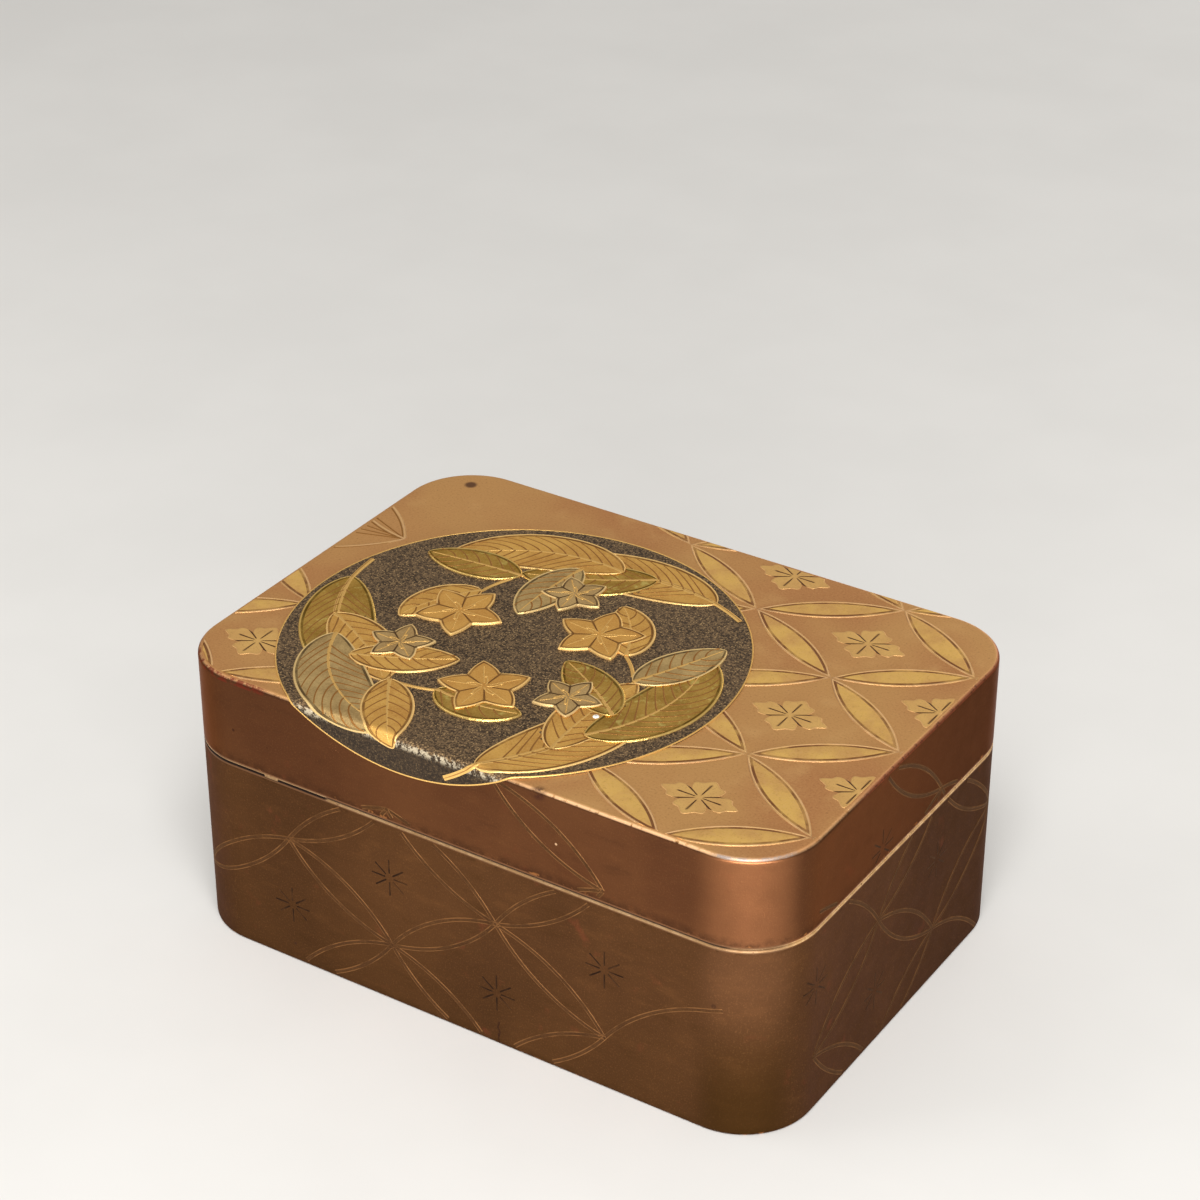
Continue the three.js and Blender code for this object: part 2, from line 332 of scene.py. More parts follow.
@dataclass(frozen=True)
class WallLacquer:
    """Worn brown gold lacquer round the lid or the base.

    It lies between the heights foot and top, and the right wall stands at the place right. The
    right wall gets painted shade, by one share at its near end and by another at its far end.
    """

    name: str
    foot: float
    top: float
    right: float
    gold: Tone
    shade: Tone
    # The dark tone of the painted shade, also used for smears.
    dim: Tone
    rubbed_and_highlight: Tone
    highlight_share: float
    painted_shade_near: float
    painted_shade_far: float
    metal: float = 0.9
    rough: float = 0.3
    tint: Tone = (236, 192, 176)
    smear_gold: Tone = (150, 100, 58)
    powder_gold: Tone = (176, 126, 78)
    chipped_gold: Tone = (176, 116, 66)
    red_stain: Tone = (128, 60, 42)
    dark_stain: Tone = (60, 36, 26)
    fleck: Tone = (52, 32, 24)
    crack_tone: Tone = (40, 22, 16)
    crack_place: float = 10.2
    crack_top: float = 6.5
    nick_place: Place = (61.6, -53.0, 32.0)
    # Where the painted highlight and painted shade of the near corner lie.
    near_corner: tuple[float, float] = (0.515, 0.857)
    corner_start: float = 74.2
    corner_full: float = 77.8

    def wall_colour(self, paint: Paint) -> Shade:
        """Mixes gold with worn, smeared and stained places, and painted shade right, left and low.

        Args:
            paint: The material.

        Returns:
            The colour of the wall before it is worn at its corner and edges.
        """
        x, y, z = paint.axes()
        blots = paint.cloud(30, 3, 0.5, paint.stretched((1.0, 1.0, 0.6)))
        smear = paint.cloud(3.2, 4, 0.6, paint.stretched((0.35, 0.35, 1.0)))
        # Painted shade on the right wall, stronger towards the back, and a little at the left end.
        right = y.rise(-44.0, 44.0) * (self.painted_shade_far - self.painted_shade_near) + self.painted_shade_near
        right = right * x.rise(self.right - 3.4, self.right)
        left = x.rise(10.0, -self.right) * 0.2
        crack = (x - self.crack_place + paint.cloud(1.6, 3) * 1.8).size().rise(0.32, 0.22)
        crack = crack * z.rise(self.crack_top, self.crack_top - 1.0) * y.rise(-50.0, -53.0)
        nick = paint.near(self.nick_place, 0.35, 0.4)
        return paint.layered(
            self.gold,
            (blots.rise(0.35, 0.66), self.shade),
            (smear.rise(0.5, 0.8) * 0.08, self.smear_gold),
            (smear.rise(0.46, 0.22) * 0.3, self.dim),
            # Painted shade on the right wall and the left end.
            (right + left, self.dim),
            # Painted shade, darker towards the foot.
            (z.rise(30.0, 0.0) * 0.3, self.dim),
            (crack.most(nick) * 0.8, self.crack_tone),
            (paint.cloud(7, 3).rise(0.62, 0.8) * 0.25, self.red_stain),
            (paint.cloud(2.4, 4, 0.7).rise(0.66, 0.82) * 0.55, self.dark_stain),
            (paint.cloud(0.4, 2, 0.7).rise(0.5, 0.8) * 0.12, self.powder_gold),
            (paint.flecks(4.5, 0.06, 0.1) * 0.7, self.fleck),
        )

    def surface(self, paint: Paint) -> tuple[Shade, Value]:
        """Wears the wall, with a painted highlight high on the near corner and painted shade low on
        it.

        Its edges are darker in patches.

        Args:
            paint: The material.

        Returns:
            The colour and the share of metal.
        """
        x, y, z = paint.axes()
        corner = x * self.near_corner[0] - y * self.near_corner[1]
        corner = corner.rise(self.corner_start, self.corner_full)
        patchy = paint.cloud(3.0, 4, 0.65)
        foot = z.rise(self.foot + 2.6, self.foot) * patchy.rise(0.36, 0.6)
        upper = z.rise(self.top - 1.4, self.top) * patchy.rise(0.5, 0.7)
        chipped = z.rise(self.foot + 0.8, self.foot + 0.3) * patchy.rise(0.6, 0.68)
        colour = paint.layered(
            self.wall_colour(paint),
            # Painted highlight high on the near corner, and painted shade low on it.
            (corner * z.rise(18.0, 40.0) * self.highlight_share, self.rubbed_and_highlight),
            (corner * z.rise(32.0, 6.0) * 0.75, self.dim),
            (foot.most(upper) * 0.6, self.dim),
            (chipped * 0.7, self.chipped_gold),
        )
        return colour, self.metal

    def material(self) -> Material:
        """Makes the material, with fine upright scratches under a grain.

        Returns:
            The material.
        """
        paint = Paint(self.name)
        colour, metal = self.surface(paint)
        scratches = paint.cloud(0.5, 3, 0.7, paint.stretched((0.12, 0.12, 1.0)))
        return paint.finish(
            Base_Color=colour,
            Metallic=metal,
            Roughness=paint.cloud(5, 4) * 0.2 + self.rough,
            Specular_IOR_Level=0.15,
            Specular_Tint=self.tint,
            Normal=paint.bump(paint.cloud(0.45, 3, 0.65), 0.02, paint.bump(scratches, 0.015)),
        )


@dataclass(frozen=True)
class LidLacquer(WallLacquer):
    """The lid's wall lacquer, with the top's gold on its flat and a worn edge between them.

    The worn edge is partly a painted highlight.
    """

    powder: TopLacquer = TopLacquer()
    flat_metal: float = 0.45
    blemish: Place = (-65.3, 45.7, 68.5)
    dark_spot: Place = (20.0, -53.2, 68.0)
    bare_corner: Place = (68.0, -49.5, 68.0)
    pale_spot: Place = (24.3, -53.2, 57.2)
    pale_tone: Tone = (218, 178, 138)

    def arris_wear_and_highlight(self, paint: Paint, colour: Shade) -> Shade:
        """Wears the upper edge: red at the ends, worn bright in front and bare at the near corner.

        The bright and bare parts are partly a painted highlight.

        Args:
            paint: The material.
            colour: The colour of the wall and the flat.

        Returns:
            The colour with the wear over it.
        """
        x, y, z = paint.axes()
        top = self.top
        powder = self.powder
        patchy = paint.cloud(1.6, 4, 0.7)
        front = x.rise(10.0, 24.0) * y.rise(-48.5, -51.0)
        left = x.rise(-47.0, -52.0) * y.rise(-41.0, -46.0)
        right = x.rise(62.0, 70.0) * y.between(-12.0, 46.0, 14.0)
        arris = z.between(top - 0.4, top - 0.16, 0.18)
        fine = z.between(top - 0.75, top - 0.2, 0.15) * right
        flaking = z.between(top - 1.3, top - 0.1, 0.09) * patchy.rise(0.42, 0.56)
        bare = paint.near(self.bare_corner, 6.5, 3.0) * arris
        dark = paint.near(self.dark_spot, 0.7, 1.7) * patchy.rise(0.36, 0.52)
        return paint.layered(
            colour,
            # Worn bright and bare tones on the edge, partly a painted highlight, strongest in front.
            (arris * patchy.rise(0.32, 0.48) * (front * 0.6 + 0.25), powder.bright),
            (bare * (patchy.rise(0.44, 0.56) * 0.5 + 0.5), powder.bare_tin),
            (fine * (patchy.rise(0.3, 0.5) * 0.4 + 0.3), powder.rubbed_red),
            (fine * patchy.rise(0.57, 0.62) * 0.6, powder.spot),
            (flaking * left * 0.85, powder.bare_red),
            (dark * 0.85, powder.spot),
        )

    def surface(self, paint: Paint) -> tuple[Shade, Value]:
        """Lays the top's gold over the flat, and wears the edge, with a painted highlight on it.

        Args:
            paint: The material.

        Returns:
            The colour and the share of metal.
        """
        wall, metal = super().surface(paint)
        upward = paint.axis("Z").rise(self.top - 0.5, self.top - 0.08)
        blemish = paint.near(self.blemish, 0.9, 1.0) * 0.85
        face = paint.layered(self.powder.colour(paint), (blemish, self.powder.spot))
        colour = self.arris_wear_and_highlight(paint, paint.layered(wall, (upward, face)))
        colour = paint.layered(colour, (paint.near(self.pale_spot, 0.18, 0.2), self.pale_tone))
        return colour, metal - upward * (metal - self.flat_metal)


@dataclass(frozen=True)
class ReliefGold:
    """Raised gold with a light outline, a dark groove inside it and a filled middle."""

    name: str
    fill: Tone
    fill_deep: Tone
    ridge: Tone
    groove: Tone
    ridge_width: float = 0.55
    groove_width: float = 0.45
    groove_strength: float = 0.9
    metal: float = 0.55
    rough: float = 0.38
    crinkle: float = 0.0
    worn: float = 0.0
    edge_shadow: float = 0.0
    glint: Optional[Tone] = None
    # Painted shade on the right wall, from the place where it stands.
    right: Optional[float] = None
    right_shade: Tone = (46, 29, 18)
    tint: Tone = (236, 196, 140)

    def filling(self, paint: Paint) -> Shade:
        """Mixes the middle's tones, its powder and the glints of foil.

        Args:
            paint: The material.

        Returns:
            The colour of the middle.
        """
        powder = paint.cloud(0.42, 2, 0.7)
        fill = paint.layered(
            self.fill,
            (paint.cloud(7, 3).rise(0.34, 0.68), self.fill_deep),
            (powder.rise(0.46, 0.76) * 0.35, self.ridge),
            (powder.rise(0.46, 0.24) * 0.3, self.groove),
        )
        if self.glint:
            fill = paint.layered(fill, (paint.cloud(2.6, 4, 0.65).rise(0.54, 0.7) * 0.7, self.glint))
        return fill

    def colour(self, paint: Paint) -> Shade:
        """Lays the ridge and the engraved lines over the filling, by the distance to the edge.

        Args:
            paint: The material.

        Returns:
            The colour.
        """
        inward = paint.carried("inward")
        patchy = paint.cloud(6, 4, 0.6).rise(0.32, 0.6) * 0.65 + 0.35
        kept = 1 - paint.cloud(4.5, 4, 0.6).rise(0.4, 0.62) * self.worn
        ridge = inward.rise(self.ridge_width + 0.05, self.ridge_width - 0.1) * kept
        groove = inward.between(self.ridge_width, self.ridge_width + self.groove_width, 0.12) * patchy
        lines = (groove * self.groove_strength).most(paint.carried("score"))
        # Painted shadow: a dark line along the outer edge.
        if self.edge_shadow:
            lines = lines.most(inward.rise(0.3, 0.1) * patchy * self.edge_shadow)
        colour = paint.layered(self.filling(paint), (ridge, self.ridge), (lines, self.groove))
        # Painted shade: darker on the right wall.
        if self.right:
            shade = paint.axis("X").rise(self.right - 3.4, self.right) * 0.35
            colour = paint.layered(colour, (shade, self.right_shade))
        return colour

    def material(self) -> Material:
        """Makes the material, crinkled where it is foil.

        Returns:
            The material.
        """
        paint = Paint(self.name)
        normal = paint.bump(paint.cloud(0.4, 3, 0.65), 0.03)
        if self.crinkle:
            folds = paint.cloud(3.5, 5, 0.6, paint.stretched((1.0, 0.55, 1.0)))
            normal = paint.bump(folds, self.crinkle, normal)
        return paint.finish(
            Base_Color=self.colour(paint),
            Metallic=self.metal,
            Roughness=paint.cloud(2.2, 3) * 0.2 + self.rough - 0.1,
            Specular_IOR_Level=0.2,
            Specular_Tint=self.tint,
            Normal=normal,
        )


@dataclass(frozen=True)
class SpeckledGround:
    """Dark lacquer with fine gold brown dust in it, worn bright where it turns over the edge."""

    name: str
    top: float
    dark: Tone = (50, 40, 31)
    light: Tone = (64, 51, 39)
    dust: Tone = (134, 108, 77)
    fleck: Tone = (168, 138, 96)
    side: Tone = (30, 25, 22)
    worn: Tone = (186, 172, 146)
    tint: Tone = (230, 196, 150)

    def material(self) -> Material:
        """Makes the material.

        Returns:
            The material.
        """
        paint = Paint(self.name)
        z = paint.axis("Z")
        top = self.top
        edge = z.rise(top - 0.1, top - 0.5) * z.rise(top - 2.4, top - 1.0)
        colour = paint.layered(
            self.dark,
            (paint.cloud(14, 3).rise(0.36, 0.64), self.light),
            (paint.cloud(0.5, 2, 0.8).rise(0.44, 0.58) * 0.62, self.dust),
            (paint.flecks(0.55, 0.5, 0.38) * 0.75, self.fleck),
            (z.rise(top - 0.3, top - 1.0) * 0.8, self.side),
            (edge * paint.cloud(1.1, 4, 0.75).rise(0.47, 0.57) * 0.75, self.worn),
        )
        return paint.finish(
            Base_Color=colour,
            Metallic=0.15,
            Roughness=paint.cloud(3, 3) * 0.2 + 0.36,
            Specular_IOR_Level=0.2,
            Specular_Tint=self.tint,
            Normal=paint.bump(paint.cloud(0.4, 3, 0.7), 0.02),
        )


@dataclass(frozen=True)
class FlakedLacquer:
    """Amber brown lacquer full of fine gold flakes, inside the box and under it."""

    name: str
    dark: Tone = (74, 36, 22)
    light: Tone = (92, 46, 26)
    flake: Tone = (186, 132, 66)
    fine_flake: Tone = (150, 96, 48)

    def material(self) -> Material:
        """Makes the material.

        Returns:
            The material.
        """
        paint = Paint(self.name)
        colour = paint.layered(
            self.dark,
            (paint.cloud(22, 3).rise(0.34, 0.66), self.light),
            (paint.flecks(0.9, 0.42, 0.3) * 0.75, self.flake),
            (paint.flecks(0.5, 0.3, 0.34) * 0.5, self.fine_flake),
        )
        return paint.finish(
            Base_Color=colour,
            Metallic=0.1,
            Roughness=paint.cloud(4, 3) * 0.14 + 0.2,
            Coat_Weight=0.5,
            Coat_Roughness=0.12,
            Normal=paint.bump(paint.cloud(7, 2), 0.03),
        )


@dataclass(frozen=True)
class RimMetal:
    """The rim's thin metal and lacquer, with a bright worn line or a dark line along the seam.

    The bright line is partly a painted highlight, and the dark line is a painted shadow.
    """

    name: str
    outline: "Outline"
    seam: float
    lacquer: Tone
    bright_line: float
    shadow_line: float
    bright_at_left: bool
    gold: Tone = (222, 184, 136)
    worn: Tone = (192, 152, 102)
    pit: Tone = (92, 58, 40)
    # The dark tone of the painted shade at the near corner and on the front.
    dim: Tone = (104, 76, 54)
    seam_shadow: Tone = (24, 14, 10)
    depth: float = 0.8
    fade: float = 0.6
    gap_end: float = -34.0
    dull_corner: FlatPlace = (66.0, -48.5)

    def outer_face(self, paint: Paint) -> Shade:
        """Marks the outside of the front, the left end and the round corner between them.

        Args:
            paint: The material.

        Returns:
            A mask that is 1 there.
        """
        x, y, _ = paint.axes()
        along, across = (-straight for straight in self.outline.straight)
        end, front = -self.outline.half_length, -self.outline.half_width
        inside = self.outline.corner - self.depth - self.fade
        bent = 1 - paint.near((along, across, self.seam), inside, self.fade)
        bent = bent * x.rise(along, along - self.fade) * y.rise(across, across - self.fade)
        flat = y.rise(front + 2 * self.depth, front + self.depth)
        return flat.most(x.rise(end + 2 * self.depth, end + self.depth)).most(bent)

    def material(self) -> Material:
        """Makes the material.

        The lid's edge is worn bright at the front's left end, and the base's edge everywhere else.
        That bright line is partly a painted highlight. The other edge gets a painted shadow where the
        bands meet, and painted shade darkens the rim at the near corner and on its front.

        Returns:
            The material.
        """
        paint = Paint(self.name)
        x, y, z = paint.axes()
        patchy = paint.cloud(2.6, 4, 0.7)
        outer = self.outer_face(paint)
        left = x.rise(self.gap_end + 0.8, self.gap_end - 0.8) * y.rise(-36.0, -44.0) * outer
        # The worn bright line, partly a painted highlight; the other edge gets a painted shadow.
        rubbed_and_highlight = left.most(1 - outer) if self.bright_at_left else 1 - left
        away = (z - self.seam).size()
        bright = rubbed_and_highlight * away.rise(self.bright_line + 0.06, self.bright_line - 0.06)
        dark = (1 - rubbed_and_highlight) * away.rise(self.shadow_line + 0.08, self.shadow_line - 0.08)
        corner = paint.near((*self.dull_corner, self.seam), 6.0, 5.0) * 0.75
        pits = paint.cloud(0.9, 3, 0.7).rise(0.6, 0.72)
        metal = paint.layered(self.gold, (patchy.rise(0.32, 0.6), self.worn), (pits, self.pit))
        colour = paint.layered(
            self.lacquer,
            (bright * patchy.rise(0.22, 0.3), metal),
            # Painted shade at the near corner and on the front face.
            (corner.most(y.rise(-51.0, -52.6) * 0.6), self.dim),
            # Painted shadow where the bands meet.
            (dark, self.seam_shadow),
        )
        return paint.finish(
            Base_Color=colour,
            Specular_IOR_Level=0.1,
            Metallic=0.75 - dark * 0.7,
            Roughness=paint.cloud(1.5, 3) * 0.2 + 0.4,
            Normal=paint.bump(paint.cloud(0.6, 3, 0.7), 0.03),
        )


PETAL_GOLD = ReliefGold(
    "petal_gold",
    (222, 178, 98),
    (204, 156, 92),
    (216, 172, 120),
    (112, 66, 42),
    ridge_width=0.58,
    groove_width=0.5,
    metal=0.45,
    worn=0.4,
    edge_shadow=0.5,
)
FLOWER_GOLD = ReliefGold(
    "lozenge_flower_gold",
    (218, 174, 104),
    (208, 162, 98),
    (206, 160, 104),
    (72, 42, 28),
    ridge_width=0.3,
    groove_width=0.3,
    groove_strength=0.1,
    metal=0.45,
)
OCHRE_LEAF = ReliefGold(
    "leaf_ochre_gold", (220, 171, 90), (200, 148, 76), (234, 192, 122), (112, 72, 38)
)
FOIL_LEAF = ReliefGold(
    "leaf_foil_gold",
    (210, 168, 88),
    (180, 140, 70),
    (234, 196, 116),
    (98, 76, 34),
    metal=0.85,
    rough=0.3,
    crinkle=0.4,
    glint=(238, 218, 128),
)
SILVER_LEAF = ReliefGold(
    "leaf_silver", (190, 161, 108), (164, 135, 88), (222, 190, 130), (84, 66, 42)
)
LINE_GOLD = ReliefGold("line_gold", (216, 172, 100), (200, 152, 82), (216, 172, 100), (150, 104, 56))
VEIN_GOLD = ReliefGold("vein_gold", (142, 98, 50), (124, 82, 42), (150, 104, 54), (96, 60, 30))
BLOSSOM_GOLD = ReliefGold(
    "blossom_gold", (216, 164, 86), (202, 147, 75), (236, 192, 120), (112, 72, 38)
)
BLOSSOM_SILVER = ReliefGold(
    "blossom_silver", (190, 158, 106), (166, 133, 86), (224, 190, 130), (80, 58, 38)
)
PEARL = ReliefGold(
    "pearl", (236, 232, 222), (226, 222, 212), (236, 232, 222), (180, 176, 168), metal=0.0
)
WALL_LINE_GOLD = ReliefGold(
    "wall_line_gold",
    (80, 52, 30),
    (71, 45, 26),
    (116, 79, 47),
    (50, 31, 19),
    ridge_width=0.26,
    groove_width=0.14,
    groove_strength=0.35,
    metal=0.6,
    rough=0.5,
    worn=0.9,
)
WALL_MARK = replace(
    WALL_LINE_GOLD,
    name="wall_flower_mark",
    fill=(75, 48, 27),
    fill_deep=(66, 42, 24),
    ridge=(32, 19, 13),
    groove=(28, 17, 12),
    ridge_width=0.6,
    groove_width=0.45,
    groove_strength=0.0,
    worn=0.65,
)


# Meshes


def towards(angle: Union[Array, float]) -> Array:
    """Gives the flat direction at each angle."""
    return np.stack([np.cos(angle), np.sin(angle)], axis=-1)


def leftward(way: Array) -> Array:
    """Turns flat directions a quarter turn to the left."""
    return np.stack([-way[..., 1], way[..., 0]], axis=-1)


@dataclass(frozen=True)
class Outline:
    """A rectangle with round corners, followed by the distance along it.

    The distance starts at the middle of the front and runs to the right.
    """

    half_length: float
    half_width: float
    corner: float

    @property
    def straight(self) -> FlatPlace:
        """The straight half length and half width between the corners."""
        return self.half_length - self.corner, self.half_width - self.corner

    @property
    def knots(self) -> Array:
        """The distances at which a straight or a corner ends.

        Returns:
            Ten distances, from 0 to the whole way round.
        """
        along, across = self.straight
        bend = self.corner * QUARTER_TURN
        parts = [0, along, bend, 2 * across, bend, 2 * along, bend, 2 * across, bend, along]
        return np.cumsum(parts)

    def inset(self, depth: float) -> "Outline":
        """Gives the outline that lies inside this one by a depth."""
        return Outline(self.half_length - depth, self.half_width - depth, self.corner - depth)

    def follow(self, distance: Array) -> tuple[Array, Array]:
        """Finds points on the outline.

        The corner's centre and the direction out of it both change evenly between the knots,
        and the point lies one corner radius from that centre in that direction.

        Args:
            distance: Distances along the outline.

        Returns:
            The points and the outward directions, with X and Y in the last axis.
        """
        along, across = self.straight
        place = np.mod(distance, self.knots[-1])
        turns = QUARTER_TURN * np.array([-1, -1, 0, 0, 1, 1, 2, 2, 3, 3])
        centre_x = along * np.array([0, 1, 1, 1, 1, -1, -1, -1, -1, 0])
        centre_y = across * np.array([-1, -1, -1, 1, 1, 1, 1, -1, -1, -1])
        outward = towards(np.interp(place, self.knots, turns))
        centre = [np.interp(place, self.knots, axis) for axis in (centre_x, centre_y)]
        return np.stack(centre, -1) + self.corner * outward, outward

    def stations(self, step: float, corner_steps: int) -> Array:
        """Chooses distances all round, closer together in the corners.

        Args:
            step: The greatest distance between stations on a straight.
            corner_steps: The number of steps in each corner.

        Returns:
            The distances, without the last, which is the first again.
        """
        runs = []
        for number, (start, end) in enumerate(zip(self.knots[:-1], self.knots[1:])):
            steps = corner_steps if number % 2 else math.ceil((end - start) / step)
            runs.append(np.linspace(start, end, steps, endpoint=False))
        return np.concatenate(runs)

    def depth(self, flat: Array) -> Array:
        """Measures how far points lie inside the outline, with less than 0 outside it."""
        beyond = np.abs(flat) - np.array(self.straight)
        return self.corner - np.linalg.norm(beyond.clip(0), axis=-1) - beyond.max(axis=-1).clip(max=0)

    def carry(self, profile: Array, distances: Array) -> Array:
        """Carries a profile round the outline.

        Args:
            profile: Rows of the distance in from the outline and the height.
            distances: Where along the outline the profile stands.

        Returns:
            A ring of points for each row of the profile.
        """
        points, outward = self.follow(distances)
        flat = points[None] - profile[:, :1, None] * outward[None]
        height = np.broadcast_to(profile[:, 1:2, None], (*flat.shape[:2], 1))
        return np.concatenate([flat, height], axis=-1)


def placed(name: str, data: bpy.types.ID) -> bpy.types.Object:
    """Makes an object and links it to the scene.

    Args:
        name: Its name.
        data: Its mesh, lamp or camera.

    Returns:
        The object.
    """
    made = bpy.data.objects.new(name, data)
    bpy.context.scene.collection.objects.link(made)
    return made


class Piece:
    """Collects closed surfaces and makes one Blender object of them."""

    def __init__(self, name: str, chart: Optional["Chart"] = None) -> None:
        """Starts an empty piece.

        Args:
            name: The name of the object.
            chart: The surface that its shapes are drawn on.
        """
        self.name = name
        self.chart = chart
        self.points: list[Array] = []
        self.faces: list[list[int]] = []
        self.finishes: list[int] = []
        self.carried: dict[str, list[Array]] = {"inward": [], "score": []}
        self.count = 0
        self.finish_now = 0

    @staticmethod
    def volume(points: Array, groups: list[Array]) -> float:
        """Adds up six times the volume under each face, which is positive when they point out."""
        faces = [points[group] for group in groups]
        return sum((face[:, :1] * np.cross(face[:, 1:-1], face[:, 2:])).sum() for face in faces)

    @staticmethod
    def quads(grid: Array) -> Array:
        """Joins each row of point numbers to the next, all the way round, with quads."""
        beside = np.roll(grid, -1, axis=1)
        return np.stack([grid[:-1], beside[:-1], beside[1:], grid[1:]], axis=-1).reshape(-1, 4)

    def keep(
        self, points: Array, groups: list[Array], finishes: list[int], **carried: Array
    ) -> None:
        """Keeps a closed surface, turned so that its faces point out.

        Args:
            points: Its points.
            groups: Its faces, with one array for each number of corners.
            finishes: The finish of each face.
            **carried: What it carries at each point, by name, or None for zeros.
        """
        if self.volume(points - points.mean(axis=0), groups) < 0:
            groups = [group[:, ::-1] for group in groups]
        for group in groups:
            self.faces.extend((group + self.count).tolist())
        self.finishes.extend(finishes)
        self.points.append(points)
        for name, parts in self.carried.items():
            values = carried.get(name)
            parts.append(np.zeros(len(points)) if values is None else values.reshape(-1))
        self.count += len(points)

    def add_tube(
        self,
        rings: Array,
        inward: Optional[Array] = None,
        score: Optional[Array] = None,
        finish: Optional[Array] = None,
    ) -> None:
        """Adds a closed skin: each ring is joined to the next, and the two ends are capped.

        Args:
            rings: Points by ring and place in the ring.
            inward: The distance in from the shape's edge at each point.
            score: How far each point lies in an engraved line, from 0 to 1.
            finish: The finish of each band between two rings, with the caps' at both ends.
        """
        rows, columns = rings.shape[:2]
        grid = np.arange(rows * columns).reshape(rows, columns)
        groups = [grid[:1, ::-1], self.quads(grid), grid[-1:]]
        if finish is None:
            finish = np.full(rows + 1, self.finish_now)
        finishes = [finish[0], *np.repeat(finish[1:-1], columns), finish[-1]]
        self.keep(rings.reshape(-1, 3), groups, finishes, inward=inward, score=score)

    def add_ring(self, rings: Array) -> None:
        """Adds a ring-shaped solid, whose section is closed as well as its way round.

        Args:
            rings: Points by place in the section and place round the outline.
        """
        rows, columns = rings.shape[:2]
        grid = np.arange(rows * columns).reshape(rows, columns)
        faces = self.quads(np.concatenate([grid, grid[:1]]))
        self.keep(rings.reshape(-1, 3), [faces], [self.finish_now] * len(faces))

    def make(
        self,
        body: str,
        slot: str,
        materials: list[Material],
        replaced: tuple[str, ...] = (),
    ) -> None:
        """Makes the object and puts it on its body.

        Args:
            body: The CAD body that it moves with.
            slot: The record's material slot, which is not used.
            materials: Its materials, in the order of the finish numbers.
            replaced: The CAD nodes that it stands for.
        """
        mesh = bpy.data.meshes.new(self.name)
        mesh.from_pydata((np.concatenate(self.points) * MM).tolist(), [], self.faces)
        mesh.polygons.foreach_set("material_index", np.array(self.finishes, np.int32))
        for name, parts in self.carried.items():
            values = np.concatenate(parts).astype(np.float32)
            mesh.attributes.new(name, "FLOAT", "POINT").data.foreach_set("value", values)
        for material in materials:
            mesh.materials.append(material)
        mesh.shade_smooth()
        mesh.set_sharp_from_angle(angle=math.radians(50))
        made = placed(self.name, mesh)
        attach(made, body)
        if replaced:
            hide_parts(*replaced)
        log.info("%s: %d faces on %s", self.name, len(self.faces), body)


# Charts and the shapes drawn in them


class Chart:
    """A flat drawing surface that is carried onto the box."""

    def lift(self, flat: Array, height: Array) -> Array:
        """Puts flat points on the box at a height above its surface."""
        raise NotImplementedError


@dataclass(frozen=True)
class TopChart(Chart):
    """The flat top of the lid, carried on over the rounded front edge and down the front."""

    top: float
    bend_line: float
    bend_radius: float
    flattening: float = 0.65

    def lift(self, flat: Array, height: Array) -> Array:
        """Puts points on the top, or past the bend line round the edge and down the front.

        Past the bend line the point first turns about the edge's centre by the way that is left
        over the radius, then goes straight down. Relief is flatter there.

        Args:
            flat: X and Y as if the lid's top went on without end.
            height: The height above the lacquer.

        Returns:
            The points on the box.
        """
        over = np.maximum(self.bend_line - flat[..., 1], 0)
        angle = np.minimum(over / self.bend_radius, QUARTER_TURN)
        down = over - angle * self.bend_radius
        raised = self.bend_radius + height * (1 - self.flattening * angle / QUARTER_TURN)
        y = np.maximum(flat[..., 1], self.bend_line) - raised * np.sin(angle)
        z = self.top - self.bend_radius + raised * np.cos(angle) - down
        return np.stack([flat[..., 0], y, z], axis=-1)


@dataclass(frozen=True)
class WallChart(Chart):
    """The upright walls unrolled: the distance round the box, and the height above its foot."""

    outline: Outline

    def lift(self, flat: Array, height: Array) -> Array:
        """Puts a distance and a height on the wall, standing out from it by the relief."""
        points, outward = self.outline.follow(flat[..., 0])
        return np.concatenate([points + outward * height[..., None], flat[..., 1:]], axis=-1)


@dataclass(frozen=True)
class Relief:
    """How high a raised shape stands at each distance in from its edge."""

    steps: tuple[float, ...]
    heights: tuple[float, ...]
    dome: float
    inner_steps: int
    lift: float = 0.0
    root: float = 0.12

    @property
    def shares(self) -> Array:
        """The inner rows' shares of the way from the innermost step to the midline."""
        return np.arange(1, self.inner_steps + 1) / self.inner_steps

    @property
    def all_heights(self) -> Array:
        """The heights of the steps, and then of the inner rows, which rise as a quarter sine."""
        crown = self.heights[-1] + self.dome * np.sin(self.shares * QUARTER_TURN)
        return np.concatenate([self.heights, crown])

    def drawn_in(self, half: Array) -> Array:
        """Gives the factor that fits the steps into a half width: 1, or less where it is narrow."""
        return np.clip(half / (1.25 * self.steps[-1]), 0, 1)

    def columns(self) -> tuple[Array, ...]:
        """Lists the columns across the shape, from its left edge to its right edge.

        Returns:
            For each column its side, its distance from the edge, its share of the way from the
            innermost step to the midline, and its height.
        """
        step = np.concatenate([self.steps, np.full(self.inner_steps, self.steps[-1])])
        part = np.concatenate([np.zeros(len(self.steps)), self.shares])
        side = np.concatenate([np.ones(len(step)), -np.ones(len(step) - 1)])
        halves = (step, part, self.all_heights)
        return side, *(np.concatenate([values, values[-2::-1]]) for values in halves)


def hidden(flat: Array, above: tuple, margin: float = 0.45) -> Array:
    """Tells which flat points lie under one of the shapes, further inside it than the margin."""
    covered = [shape.covers(flat, margin) for shape in above]
    return np.any(covered or [np.zeros(flat.shape[:-1], bool)], axis=0)


